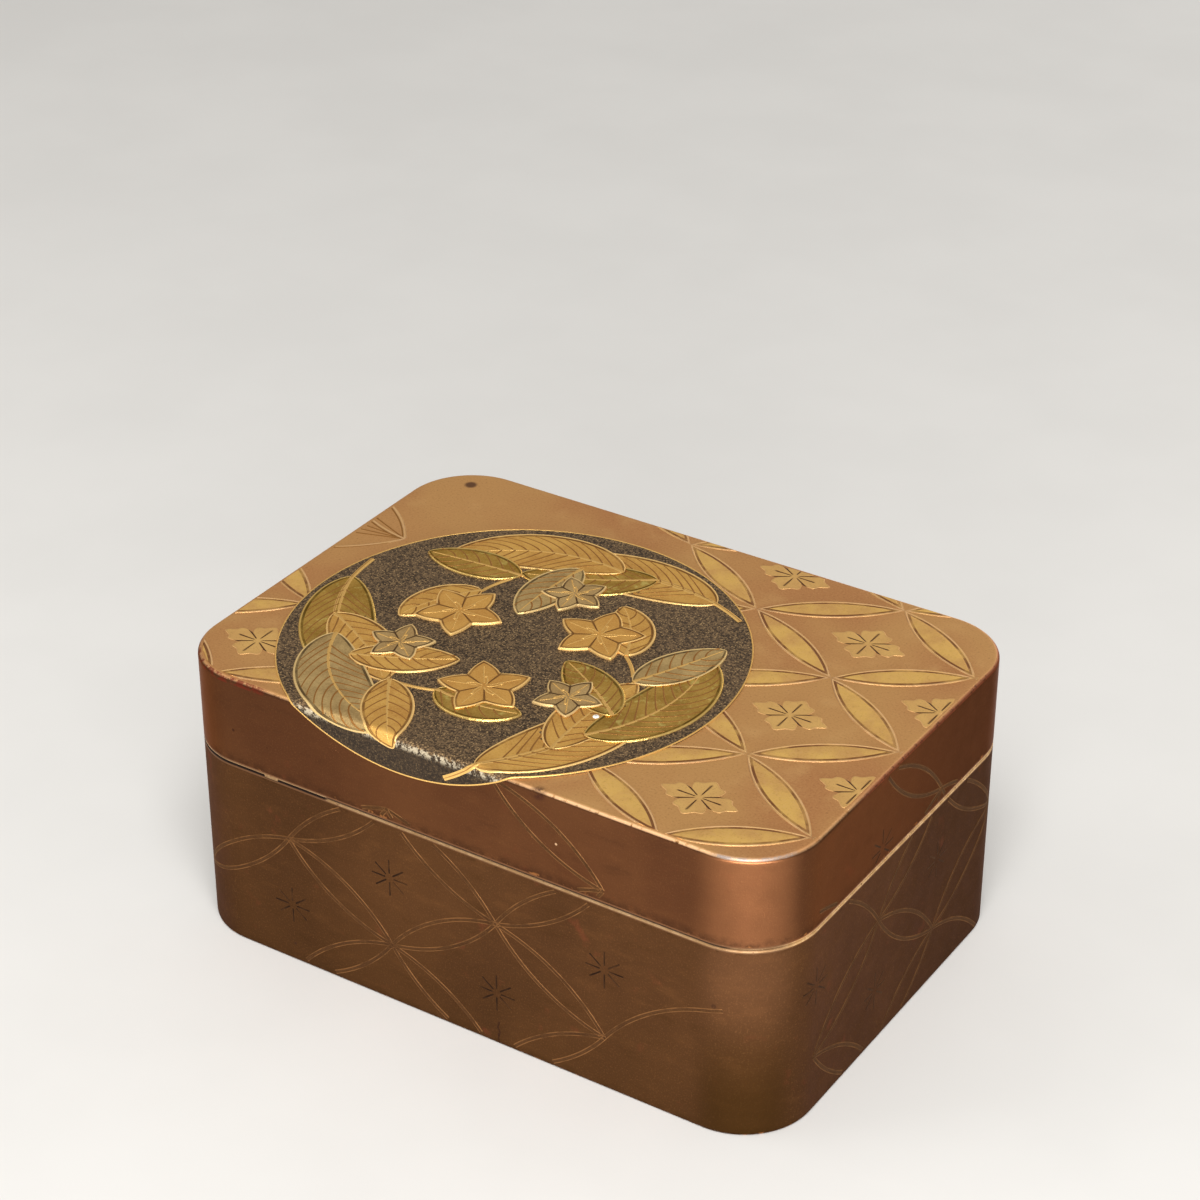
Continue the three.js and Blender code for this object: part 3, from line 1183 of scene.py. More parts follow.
@dataclass(frozen=True)
class Blade:
    """A long shape with a midline and a half width, such as a leaf or a lens."""

    def middle(self, share: Array) -> Array:
        """Gives the midline's point at a share of its length."""
        raise NotImplementedError

    def side(self, share: Array) -> Array:
        """Gives the direction to the left of the midline."""
        raise NotImplementedError

    def half_width(self, share: Array) -> Array:
        """Gives the distance from the midline to the edge."""
        raise NotImplementedError

    def at(self, share: Array, aside: Array) -> Array:
        """Gives the point at a share of the length and of the half width to the left."""
        offset = aside * self.half_width(share)
        return self.middle(share) + self.side(share) * offset[..., None]

    def spread(
        self, share: Array, relief: Relief, columns: tuple[Array, ...]
    ) -> tuple[Array, Array, Array]:
        """Works out the points of the columns.

        A column near the edge keeps its distance from it, drawn in where the shape is narrow.
        A column near the midline keeps its share of the rest of the half width.

        Args:
            share: The share of the length, by row and column.
            relief: The relief across the shape.
            columns: The columns to make.

        Returns:
            The flat points, their distance from the edge and their height.
        """
        side, step, part, height = columns
        half = self.half_width(share)
        drawn_in = relief.drawn_in(half)
        inward = step * drawn_in + (half - relief.steps[-1] * drawn_in) * part
        flat = self.middle(share) + self.side(share) * (side * (half - inward))[..., None]
        return flat, inward, height * drawn_in + relief.lift

    def height_at(self, share: Array, aside: Array, relief: Relief) -> Array:
        """Works out the relief's height at places on the shape.

        Args:
            share: Their shares of the length.
            aside: Their shares of the half width.
            relief: The relief across the shape.

        Returns:
            The heights.
        """
        half = self.half_width(share)
        drawn_in = np.maximum(relief.drawn_in(half), 1e-6)
        rim = relief.steps[-1] * drawn_in
        inward = half * (1 - np.abs(aside))
        part = np.clip((inward - rim) / np.maximum(half - rim, 1e-6), 0, 1)
        near_edge = np.interp(inward / drawn_in, relief.steps, relief.heights)
        return (near_edge + relief.dome * np.sin(part * QUARTER_TURN)) * drawn_in + relief.lift

    def add_to(
        self,
        piece: Piece,
        relief: Relief,
        rows: Array,
        within: Optional[Outline] = None,
        above: tuple = (),
    ) -> None:
        """Adds the shape to a piece, closed underneath.

        Args:
            piece: The piece to add to.
            relief: The relief across it.
            rows: The shares of its length that get a row.
            within: An outline that cuts it off.
            above: Shapes that lie over it, under which it sinks.
        """
        columns = relief.columns()
        share = np.repeat(rows[:, None], len(columns[0]), axis=1)
        if within is not None:
            start, end = self.kept(relief, columns, within)
            kept = end > start
            if kept.sum() < 3:
                return
            columns = tuple(values[kept] for values in columns)
            share = start[kept] + (end - start)[kept] * rows[:, None]
        flat, inward, height = self.spread(share, relief, columns)
        flat = np.concatenate([flat[:, :1], flat, flat[:, -1:]], axis=1)
        inward = np.pad(inward, ((0, 0), (1, 1)))
        height = np.pad(height, ((0, 0), (1, 1)), constant_values=-relief.root)
        height = np.where(hidden(flat, above), -relief.root, height)
        piece.add_tube(piece.chart.lift(flat, height), inward)

    def kept(
        self, relief: Relief, columns: tuple[Array, ...], within: Outline
    ) -> tuple[Array, Array]:
        """Finds the part of each column that lies inside an outline.

        Args:
            relief: The relief across the shape.
            columns: The columns.
            within: The outline.

        Returns:
            The first and last share of the length, which are both 0 for a column outside.
        """
        fine = np.linspace(0, 1, 401)[:, None]
        share = np.repeat(fine, len(columns[0]), axis=1)
        inside = within.depth(self.spread(share, relief, columns)[0]) > 0
        start = np.where(inside, share, 1.0).min(axis=0)
        end = np.where(inside, share, 0.0).max(axis=0)
        return np.minimum(start, end), end


@dataclass(frozen=True)
class Lens(Blade):
    """The slim lens where two circles of the pattern overlap, from one crossing to the next."""

    start: FlatPlace
    end: FlatPlace
    swell: float

    @property
    def chord(self) -> Array:
        """The way from the first crossing to the next."""
        return np.subtract(self.end, self.start)

    def middle(self, share: Array) -> Array:
        """Gives the point on the straight line between the crossings."""
        return np.array(self.start) + share[..., None] * self.chord

    def side(self, share: Array) -> Array:
        """Gives the direction at right angles to the line."""
        return leftward(self.chord / np.linalg.norm(self.chord))

    def half_width(self, share: Array) -> Array:
        """Gives the height of an arc over the line between the crossings.

        Its circle has the radius that lets it go through both crossings and swell by the given
        width between them.

        Args:
            share: Shares of the line.

        Returns:
            The heights.
        """
        length = np.linalg.norm(self.chord)
        radius = (length**2 / 4 + self.swell**2) / (2 * self.swell)
        return np.sqrt(radius**2 - (length * (share - 0.5)) ** 2) - (radius - self.swell)


@dataclass(frozen=True)
class Leaf(Blade):
    """A pointed leaf whose midline is an arc."""

    base: FlatPlace
    heading: float
    length: float
    width: float
    bend: float
    base_curve: float = 0.62
    tip_curve: float = 0.72

    def angle(self, share: Array) -> Array:
        """Gives the midline's direction, which turns evenly along it."""
        return self.heading + self.bend * share

    def middle(self, share: Array) -> Array:
        """Adds up the midline's direction from the base, which gives an arc."""
        out = leftward(towards(self.heading)) - leftward(towards(self.angle(share)))
        return np.array(self.base) + self.length / self.bend * out

    def side(self, share: Array) -> Array:
        """Gives the direction at right angles to the midline."""
        return leftward(towards(self.angle(share)))

    def half_width(self, share: Array) -> Array:
        """Gives half the width times s^base_curve * (1 - s)^tip_curve over its greatest value.

        The greatest value is at s = base_curve / (base_curve + tip_curve).

        Args:
            share: Shares of the length, which are s.

        Returns:
            The half widths.
        """
        widest = self.base_curve / (self.base_curve + self.tip_curve)
        most = widest**self.base_curve * (1 - widest) ** self.tip_curve
        return 0.5 * self.width * share**self.base_curve * (1 - share) ** self.tip_curve / most

    def covers(self, flat: Array, margin: float) -> Array:
        """Tells which flat points lie on the leaf.

        Seen from the arc's centre, a point's direction gives its share of the length, and its
        distance gives how far it lies beside the midline.

        Args:
            flat: The points.
            margin: How far inside the edge they have to lie.

        Returns:
            True for each point on the leaf.
        """
        radius = self.length / self.bend
        away = flat - (np.array(self.base) + radius * leftward(towards(self.heading)))
        left = -math.copysign(1, radius) * away
        turned = np.arctan2(-left[..., 0], left[..., 1]) - self.heading
        share = (np.mod(turned + math.pi, FULL_TURN) - math.pi) / self.bend
        aside = np.abs(abs(radius) - np.linalg.norm(away, axis=-1))
        on_leaf = (share > 0) & (share < 1)
        return on_leaf & (aside < self.half_width(np.clip(share, 0, 1)) - margin)


@dataclass(frozen=True)
class Disc(Blade):
    """A round shape, with its midline running from its back to its front."""

    centre: FlatPlace
    radius: float

    def middle(self, share: Array) -> Array:
        """Gives the point on the diameter, with shares that are even round the edge."""
        y = self.centre[1] + self.radius * np.cos(math.pi * share)
        return np.stack([np.full_like(y, self.centre[0]), y], axis=-1)

    def side(self, share: Array) -> Array:
        """Gives the direction to the right, which is left of the way to the front."""
        return np.array([1.0, 0.0])

    def half_width(self, share: Array) -> Array:
        """Gives half the chord."""
        return self.radius * np.sin(math.pi * share)

    def share_at(self, y: Array) -> Array:
        """Gives the share at which the diameter passes a place along Y."""
        return np.arccos((y - self.centre[1]) / self.radius) / math.pi


@dataclass(frozen=True)
class Bead:
    """The cross section of a raised line: places across it, heights and the depth of its root."""

    across: tuple[float, ...]
    heights: tuple[float, ...]
    root: float = 0.1


ROUND_BEAD = Bead((-1.0, -0.72, -0.36, 0.0, 0.36, 0.72, 1.0), (0.0, 0.62, 0.92, 1.0, 0.92, 0.62, 0.0))
TWIN_BEAD = Bead(
    (-1.0, -0.82, -0.62, -0.36, 0.0, 0.36, 0.62, 0.82, 1.0),
    (0.0, 0.85, 1.0, 0.3, 0.12, 0.3, 1.0, 0.85, 0.0),
)


def add_line(
    piece: Piece,
    path: Array,
    half_width: Union[Array, float],
    rise: float,
    under: Union[Array, float] = 0.0,
    bead: Bead = ROUND_BEAD,
    above: tuple = (),
) -> None:
    """Adds a raised line: its cross section is carried along a path.

    The cross section stands at right angles to the path, and each of its points lies at its
    share of the half width to the left, at the height under the line plus its share of the rise.

    Args:
        piece: The piece to add to.
        path: Flat points along its middle.
        half_width: Its half width at each point.
        rise: Its height.
        under: The height that it stands on.
        bead: Its cross section.
        above: Shapes that lie over it, under which it sinks.
    """
    step = np.gradient(path, axis=0)
    left = leftward(step / np.linalg.norm(step, axis=1, keepdims=True))
    across = np.pad(bead.across, 1, "edge")
    shape = np.pad(bead.heights, 1) * rise
    sunk = np.pad(np.zeros(len(bead.heights)), 1, constant_values=bead.root)
    half = np.broadcast_to(half_width, len(path))[:, None]
    height = np.broadcast_to(under, len(path))[:, None] + shape - sunk
    height = np.where(hidden(path, above, 0.3)[:, None], shape - rise - bead.root, height)
    flat = path[:, None] + left[:, None] * (half * across)[..., None]
    piece.add_tube(piece.chart.lift(flat, height), half * (1 - np.abs(across)))


@dataclass(frozen=True)
class Stroke:
    """An engraved line from near a shape's centre outwards."""

    angle: float
    start: float
    end: float
    half_width: float = 0.2

    def strength(self, x: Array, y: Array) -> Array:
        """Tells how far points lie in the line, which widens outwards and has a soft edge.

        Args:
            x: Their places along the shape.
            y: Their places across it.

        Returns:
            1 in the line and 0 away from it.
        """
        cosine, sine = towards(self.angle)
        along = x * cosine + y * sine
        aside = np.abs(y * cosine - x * sine)
        width = self.half_width * (0.6 + 0.5 * np.clip((along - self.start) / self.end, 0, 1))
        line = np.clip((width * 1.5 - aside) / (width * 0.7), 0, 1)
        ends = np.clip((along - self.start) * 4, 0, 1) * np.clip((self.end - along) * 4, 0, 1)
        return line * ends


@dataclass(frozen=True)
class Rosette:
    """A shape round a centre, such as a flower, given by its reach in each direction."""

    centre: FlatPlace
    radius: float
    turn: float = 0.0
    lobes: int = 1
    waist: float = 1.0
    point: float = 1.0
    stretch: tuple[float, float] = (1.0, 1.0)
    scallop: float = 0.0
    columns: int = 160
    within: Optional[Outline] = None

    def reach(self, angle: Array) -> Array:
        """Gives the distance from the centre to the edge.

        It is the radius times the waist, plus the rest times a power of the nearness to a lobe's
        tip, plus a small wave three times as fast as the lobes. An outline can cut it off.

        Args:
            angle: Angles from the shape's own axis.

        Returns:
            The distances.
        """
        away = np.abs(np.mod(angle * self.lobes / FULL_TURN + 0.5, 1) - 0.5) * 2
        lobe = self.waist + (1 - self.waist) * (1 - away) ** self.point
        wave = self.scallop * (np.cos(3 * self.lobes * angle) - 1)
        reach = self.radius * (lobe + wave)
        if self.within is None:
            return reach
        share = np.linspace(0, 1, 201)[:, None]
        x, y = self.stretched(angle, share * reach)
        inside = self.within.depth(self.place(x, y)) > 0.05
        return reach * np.where(inside, share, 0.0).max(axis=0)

    def covers(self, flat: Array, margin: float) -> Array:
        """Tells which flat points lie on an unstretched shape, inside its edge by the margin."""
        x, y = np.moveaxis(flat - np.array(self.centre), -1, 0)
        return np.hypot(x, y) < self.reach(np.arctan2(y, x) - self.turn) - margin

    def stretched(self, angle: Array, distance: Array) -> tuple[Array, Array]:
        """Gives the places along and across the shape at an angle and a distance."""
        along, across = self.stretch
        return distance * np.cos(angle) * along, distance * np.sin(angle) * across

    def place(self, x: Array, y: Array) -> Array:
        """Turns places along and across the shape by its turn, and moves them to its centre."""
        way = towards(self.turn)
        return np.array(self.centre) + x[..., None] * way + y[..., None] * leftward(way)

    def add_to(self, piece: Piece, relief: Relief, strokes: tuple[Stroke, ...] = ()) -> None:
        """Adds the shape to a piece, with engraved strokes in it.

        Rows near the edge keep their distance from it, and the others share out the rest of the
        way to the centre.

        Args:
            piece: The piece to add to.
            relief: The relief from the edge to the centre.
            strokes: The engraved lines.
        """
        angle = np.linspace(0, FULL_TURN, self.columns, endpoint=False)[None]
        reach = self.reach(angle)
        drawn_in = relief.drawn_in(reach)
        rim = relief.steps[-1] * drawn_in
        inner = rim + (reach - rim) * relief.shares[:, None] * 0.995
        inward = np.concatenate([np.array(relief.steps)[:, None] * drawn_in, inner])
        x, y = self.stretched(angle, reach - inward)
        score = np.zeros_like(x)
        for stroke in strokes:
            score = np.maximum(score, stroke.strength(x, y))
        height = relief.all_heights[:, None] + relief.lift - 0.07 * score
        flat = self.place(x, y)
        below = ((1, 0), (0, 0))
        height = np.pad(height, below, constant_values=-relief.root)
        points = piece.chart.lift(np.concatenate([flat[:1], flat]), height)
        piece.add_tube(points, np.pad(inward, below), np.pad(score, below))


# The box


SIDE_NAMES = ("front", "back", "left", "right")
CORNER_NAMES = ("back_right", "back_left", "front_left", "front_right")


def named(side: str, corner: str) -> tuple[str, ...]:
    """Names the CAD nodes of the four sides and corners, for which a star stands."""
    sides = [side.replace("*", name) for name in SIDE_NAMES]
    return (*sides, *(corner.replace("*", name) for name in CORNER_NAMES))


def corners(node: str) -> tuple[Array, Array]:
    """Gives the lowest and highest corner of a CAD node in millimetres."""
    low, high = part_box(node)
    return np.array(low) / MM, np.array(high) / MM


@dataclass(frozen=True)
class BoxForm:
    """The box's main sizes in millimetres, read from the CAD nodes."""

    outline: Outline
    top: float
    seam: float
    band: float
    base_wall: float
    lid_wall: float
    lid_ceiling: float
    floor_top: float
    floor_under: float
    riser_inset: float
    riser_wall: float
    riser_top: float
    roundel_centre: FlatPlace
    roundel_radius: float
    skin_inset: float = 0.3
    edge_round: float = 1.1

    @classmethod
    def from_frame(cls) -> "BoxForm":
        """Reads the sizes.

        Returns:
            The box's form.
        """
        top_low, top_high = corners("lid_top_board")
        block_low, block_high = corners("lid_corner_block_front_right")
        base_low, base_high = corners("base_front_board")
        band_low, band_high = corners("base_rim_band")
        lid_low, lid_high = corners("lid_front_board")
        floor_low, floor_high = corners("base_bottom_board")
        riser_low, riser_high = corners("riser_front")
        ground_low, ground_high = corners("roundel_ground")
        radius = (ground_high[0] - ground_low[0]) / 2
        return cls(
            outline=Outline(top_high[0], top_high[1], block_high[0] - block_low[0]),
            top=top_high[2],
            seam=band_high[2],
            band=band_high[2] - band_low[2],
            base_wall=base_high[1] - base_low[1],
            lid_wall=lid_high[1] - lid_low[1],
            lid_ceiling=top_low[2],
            floor_top=floor_high[2],
            floor_under=floor_low[2],
            riser_inset=top_high[1] + riser_low[1],
            riser_wall=riser_high[1] - riser_low[1],
            riser_top=riser_high[2],
            roundel_centre=(ground_low[0] + radius, ground_high[1] - radius),
            roundel_radius=radius,
        )

    @property
    def stations(self) -> Array:
        """Where the profiles stand round the outline."""
        return self.outline.stations(2.0, 24)

    @property
    def flat_top(self) -> Outline:
        """The edge of the lid's flat top, inside the rounded edge."""
        return self.skin.inset(self.edge_round)

    @property
    def skin(self) -> Outline:
        """The outside of the walls' lacquer."""
        return self.outline.inset(self.skin_inset)

    @property
    def top_chart(self) -> TopChart:
        """The chart of the lid's top and front."""
        return TopChart(self.top, -self.flat_top.half_width, self.edge_round)


def arc(centre: FlatPlace, radius: float, start: float, end: float, steps: int) -> Array:
    """Gives points of an arc in a profile, whose first axis is the inset and second the height."""
    return np.array(centre) + radius * towards(np.radians(np.linspace(start, end, steps)))


def upright(inset: float, start: float, end: float, steps: int) -> Array:
    """Gives points of an upright line in a profile."""
    return np.stack([np.full(steps, inset), np.linspace(start, end, steps)], axis=-1)


@dataclass
class Skin:
    """One group of lacquered boards as a closed skin, whose profile is carried round the box.

    The profile starts and ends level, at the reach in from the outline, and its ends are capped.
    """

    form: BoxForm
    body: str
    board: str
    reach: float

    def runs(self) -> tuple[list, list, list]:
        """Draws the profile's runs of inset and height: before, on and after the outside."""
        raise NotImplementedError

    def lacquer(self) -> WallLacquer:
        """Gives the outside's finish."""
        raise NotImplementedError

    def build(self) -> Piece:
        """Carries the profile round the outline, with finish 0 outside and 1 inside.

        Returns:
            The piece.
        """
        before, outside, after = self.runs()
        start = sum(len(run) for run in before)
        end = start + sum(len(run) for run in outside)
        profile = np.concatenate([*before, *outside, *after])
        finish = np.ones(len(profile) + 1, int)
        finish[start : end + 1] = 0
        piece = Piece(f"{self.body}_lacquer")
        piece.add_tube(self.form.outline.carry(profile, self.form.stations), finish=finish)
        return piece

    def dress(self) -> None:
        """Builds the skin and gives it its finishes."""
        inner = FlakedLacquer(f"{self.body}_inner_lacquer")
        materials = [self.lacquer().material(), inner.material()]
        boards = named(f"{self.body}_*_board", f"{self.body}_corner_block_*")
        self.build().make(self.body, "gold_lacquer", materials, (self.board, *boards))


@dataclass
class LidSkin(Skin):
    """The lid's lacquer: its top, walls and inside."""

    body: str = "lid"
    board: str = "lid_top_board"
    reach: float = 12.0
    inner_round: float = 1.2

    @property
    def foot(self) -> float:
        """The height of the lid's lower edge, above its rim band."""
        return self.form.seam + self.form.band

    def runs(self) -> tuple[list, list, list]:
        """Draws the profile from the middle of the top, out, down and back in.

        Returns:
            Runs of inset and height before, on and after the outside.
        """
        form = self.form
        skin = form.skin_inset
        bend = form.edge_round
        inner = self.inner_round
        shoulder = (skin + bend, form.top - bend)
        ceiling = (form.lid_wall + inner, form.lid_ceiling - inner)
        outside = [
            [[self.reach, form.top], [shoulder[0] + 0.5, form.top]],
            arc(shoulder, bend, 90, 180, 10),
            upright(skin, shoulder[1] - 1.0, self.foot, 10),
        ]
        inside = [
            [[form.lid_wall, self.foot]],
            arc(ceiling, inner, 180, 90, 6),
            [[self.reach, form.lid_ceiling]],
        ]
        return [], outside, inside

    def lacquer(self) -> LidLacquer:
        """Gives the red brown gold of the lid's walls, with the top's gold."""
        return LidLacquer(
            "lid_gold_lacquer",
            foot=self.foot,
            top=self.form.top,
            right=self.form.skin.half_length,
            gold=(104, 66, 41),
            shade=(92, 57, 36),
            dim=(60, 38, 26),
            # A painted highlight on the near corner, and painted shade on the right wall.
            rubbed_and_highlight=(158, 104, 68),
            highlight_share=0.36,
            painted_shade_near=0.3,
            painted_shade_far=1.0,
        )


@dataclass
class BaseSkin(Skin):
    """The base's lacquer: its walls, foot, underside and inside."""

    body: str = "base"
    board: str = "base_bottom_board"
    reach: float = 14.0
    foot_round: float = 0.7
    foot_width: float = 2.2
    foot_bevel: float = 0.2
    floor_bevel: float = 0.25

    @property
    def shoulder(self) -> float:
        """The height of the base's upper edge, under its rim band."""
        return self.form.seam - self.form.band

    def runs(self) -> tuple[list, list, list]:
        """Draws the profile from the middle of the underside, out, up and back in.

        Returns:
            Runs of inset and height before, on and after the outside.
        """
        form = self.form
        skin = form.skin_inset
        bend = self.foot_round
        foot = skin + self.foot_width
        under = form.floor_under
        underside = [
            [[self.reach, under], [foot + self.floor_bevel, under]],
            [[foot, under - self.floor_bevel], [foot, self.foot_bevel]],
        ]
        outside = [
            [[foot - self.foot_bevel, 0.0]],
            arc((skin + bend, bend), bend, 270, 180, 7),
            upright(skin, bend + 1.0, self.shoulder, 14),
        ]
        inside = [
            [[form.base_wall, self.shoulder], [form.base_wall, form.floor_top]],
            [[self.reach, form.floor_top]],
        ]
        return underside, outside, inside

    def lacquer(self) -> WallLacquer:
        """Gives the duller brown gold of the base's walls."""
        return WallLacquer(
            "base_gold_lacquer",
            foot=0.0,
            top=self.shoulder,
            right=self.form.skin.half_length,
            gold=(75, 48, 27),
            shade=(65, 41, 23),
            dim=(46, 28, 8),
            rubbed_and_highlight=(104, 70, 48),
            # A painted highlight on the near corner, and painted shade on the right wall.
            highlight_share=0.25,
            painted_shade_near=0.0,
            painted_shade_far=0.8,
            metal=0.5,
            rough=0.5,
            tint=(226, 164, 80),
        )


@dataclass
class Riser:
    """The thin inner wall that stands up from the base and holds the lid."""

    form: BoxForm
    edge: float = 0.5

    def build(self) -> Piece:
        """Carries a closed upright section with a rounded upper edge round the outline.

        Returns:
            The piece.
        """
        form = self.form
        outer = form.riser_inset
        inner = outer + form.riser_wall
        shoulder = form.riser_top - self.edge
        section = [
            [[inner, form.floor_top], [outer, form.floor_top]],
            arc((outer + self.edge, shoulder), self.edge, 180, 90, 5),
            arc((inner - self.edge, shoulder), self.edge, 90, 0, 5),
        ]
        piece = Piece("riser_lacquer")
        piece.add_ring(form.outline.carry(np.concatenate(section), form.stations))
        return piece

    def dress(self) -> None:
        """Builds the riser and gives it the inner lacquer."""
        material = FlakedLacquer("riser_inner_lacquer").material()
        nodes = named("riser_*", "riser_corner_*")
        self.build().make("base", "inner_lacquer", [material], nodes)


@dataclass
class RimBands:
    """The thin metal bands on the meeting edges of the lid and the base."""

    form: BoxForm
    bevel: float = 0.5
    lid_bevel: float = 0.42
    chip_place: float = -48.8
    chip_half: float = 1.6
    chip_drop: float = 0.62

    @property
    def stations(self) -> Array:
        """Where the bands' sections stand, closer together at the chip."""
        sides = self.chip_place + self.chip_half * np.array([-1.12, -1.0, 1.0, 1.12])
        return np.union1d(self.form.stations, sides + self.form.outline.knots[-1])

    def section(self, inner: float, band: float, bevel: float) -> Array:
        """Draws a band's section, with a rounded outer edge where the bands meet.

        Args:
            inner: The inset of its inner side.
            band: How far it reaches up from the seam, or down where it is less than 0.
            bevel: The radius of the rounded edge.

        Returns:
            Rows of inset and height.
        """
        skin = self.form.skin_inset
        seam = self.form.seam
        edge = arc((bevel, bevel), bevel, 180, 270, 7)
        edge = np.array([skin, seam]) + edge * [1.0, math.copysign(1, band)]
        return np.concatenate([[[inner, seam + band], [skin, seam + band]], edge, [[inner, seam]]])

    def carry(self, section: Array) -> Array:
        """Carries a section round the box, with its meeting edge lower at the chip in front.

        Args:
            section: Rows of inset and height.

        Returns:
            The rings of points.
        """
        rings = self.form.outline.carry(section, self.stations)
        meets = np.abs(rings[..., 2] - self.form.seam) < self.form.band / 2
        chipped = np.abs(rings[..., 0] - self.chip_place) < self.chip_half * 1.05
        in_front = rings[..., 1] < 0
        rings[..., 2] -= self.chip_drop * (meets & chipped & in_front)
        return rings

    def dress(self) -> None:
        """Builds both bands and gives them their metal."""
        form = self.form
        bands = (
            ("base", form.base_wall, -form.band, self.bevel, ((110, 71, 40), 0.54, 0.4, False)),
            ("lid", form.lid_wall, form.band, self.lid_bevel, ((124, 75, 42), 0.5, 0.42, True)),
        )
        for body, wall, band, bevel, look in bands:
            piece = Piece(f"{body}_rim_metal")
            piece.add_ring(self.carry(self.section(wall, band, bevel)))
            metal = RimMetal(f"{body}_rim_gold", form.outline, form.seam, *look)
            piece.make(body, "rim_metal", [metal.material()], (f"{body}_rim_band",))


LENS_RELIEF = Relief(
    steps=(0.0, 0.12, 0.28, 0.45, 0.58, 0.72, 0.88, 1.02, 1.2),
    heights=(0.0, 0.14, 0.19, 0.15, 0.05, 0.02, 0.04, 0.09, 0.12),
    dome=0.06,
    inner_steps=4,
)
FLOWER_RELIEF = Relief((0.0, 0.15, 0.35, 0.6), (0.0, 0.08, 0.1, 0.09), dome=0.03, inner_steps=14)


@dataclass
class CirclePattern:
    """The lid's pattern of overlapping circles drawn out into lenses, with flowers between.

    The pattern is left out in the plain back left, which reaches further back at the left end.
    """

    form: BoxForm
    columns: tuple[float, ...] = (-90.0, -63.0, -35.0, -6.7, 20.6, 48.3, 74.0, 100.5)
    rows: tuple[float, ...] = (-70.0, -53.0, -37.8, -18.9, -1.6, 16.0, 32.4, 49.2, 66.0)
    swell: float = 3.5
    flower: tuple[float, float] = (9.0, 6.6)
    plain_right: float = -8.0
    plain_back: float = 55.0
    plain_left: float = -40.0
    plain_left_back: float = 62.0
    fan_column: int = 1
    fan_row: int = 5

    def crossing(self, column: int, row: int) -> Array:
        """Gives the place of a lattice point, whose hand-drawn spacing isn't quite even."""
        return np.array([self.columns[column], self.rows[row]])

    def shown(self, place: Array, covered: float) -> bool:
        """Tells whether a shape shows: not under the roundel nor in the plain back left.

        Args:
            place: The middle of the shape.
            covered: How far inside the roundel's edge it is wholly covered.

        Returns:
            True where it shows.
        """
        from_roundel = np.linalg.norm(place - np.array(self.form.roundel_centre))
        back = self.plain_left_back if place[0] < self.plain_left else self.plain_back
        plain = place[0] < self.plain_right and 0 < place[1] < back
        return bool(from_roundel > self.form.roundel_radius - covered and not plain)

    def lenses(self) -> list[Lens]:
        """Lists the lenses between diagonal neighbours that show.

        Returns:
            The lenses.
        """
        found = []
        rows = range(len(self.rows))
        for column in range(len(self.columns) - 1):
            pairs = [(row, row + step) for row in rows[column % 2 :: 2] for step in (-1, 1)]
            for row, end_row in (pair for pair in pairs if pair[1] in rows):
                ends = (self.crossing(column, row), self.crossing(column + 1, end_row))
                if self.shown(np.mean(ends, axis=0), 16.0):
                    found.append(Lens(*ends, swell=self.swell))
        return found

    def flowers(self) -> list[Array]:
        """Lists the places of the flowers that show, between the crossings.

        Returns:
            The places.
        """
        places = []
        for column in range(len(self.columns)):
            for row in range(1 - column % 2, len(self.rows), 2):
                place = self.crossing(column, row)
                if self.form.flat_top.depth(place) > 0 and self.shown(place, 2.5):
                    places.append(place)
        return places

    def add_fan(self, piece: Piece) -> None:
        """Adds the thin arcs and rays that spread from one crossing to the left edge.

        Args:
            piece: The piece to add to.
        """
        node = self.crossing(self.fan_column, self.fan_row)
        share = np.linspace(0.0, 1.0, 90)
        paths = []
        for rise, side in ((1, -1), (1, 1), (-1, 1)):
            end = self.crossing(self.fan_column - 1, self.fan_row + rise)
            curve = Lens(node, end, swell=self.swell).at(share, np.full_like(share, side))
            paths += [(curve, 0.42, 0.12, 0), (curve - [0.15, 0.55], 0.2, 0.06, 1)]
        for angle in np.radians([158, 168, 178, 188, 198]):
            ray = node + np.linspace(0.8, 16.0, 40)[:, None] * towards(angle)
            paths.append((ray, 0.2, 0.06, 1))
        for path, half_width, rise, finish in paths:
            kept = path[self.form.flat_top.depth(path) > 0.3]
            piece.finish_now = finish
            add_line(piece, kept, half_width, rise)

    def dress(self) -> None:
        """Builds the lenses, the fan and the flowers."""
        form = self.form
        petals = Piece("circle_pattern_lenses", form.top_chart)
        rows = np.linspace(0.004, 0.996, 56)
        for lens in self.lenses():
            lens.add_to(petals, LENS_RELIEF, rows, within=form.flat_top)
        self.add_fan(petals)
        petals.make("lid", "raised_gold", [PETAL_GOLD.material(), VEIN_GOLD.material()])
        flowers = Piece("circle_pattern_flowers", form.top_chart)
        length, width = self.flower
        shape = Rosette((0.0, 0.0), length, 0.0, 4, 0.56, 0.62, (1.0, width / length), 0.05)
        angles = np.radians([0, 32, 90, 148, 180, 212, 270, 328])
        strokes = tuple(Stroke(angle, 0.8, 5.2) for angle in angles)
        for place in self.flowers():
            flower = replace(shape, centre=place, within=form.flat_top)
            flower.add_to(flowers, FLOWER_RELIEF, strokes)
        flowers.make("lid", "raised_gold", [FLOWER_GOLD.material()])


class Wall(Enum):
    """The four upright walls, by the number of quarters of the way round to the wall's middle."""

    FRONT = 0
    RIGHT = 1
    BACK = 2
    LEFT = 3


Node = tuple[int, int]


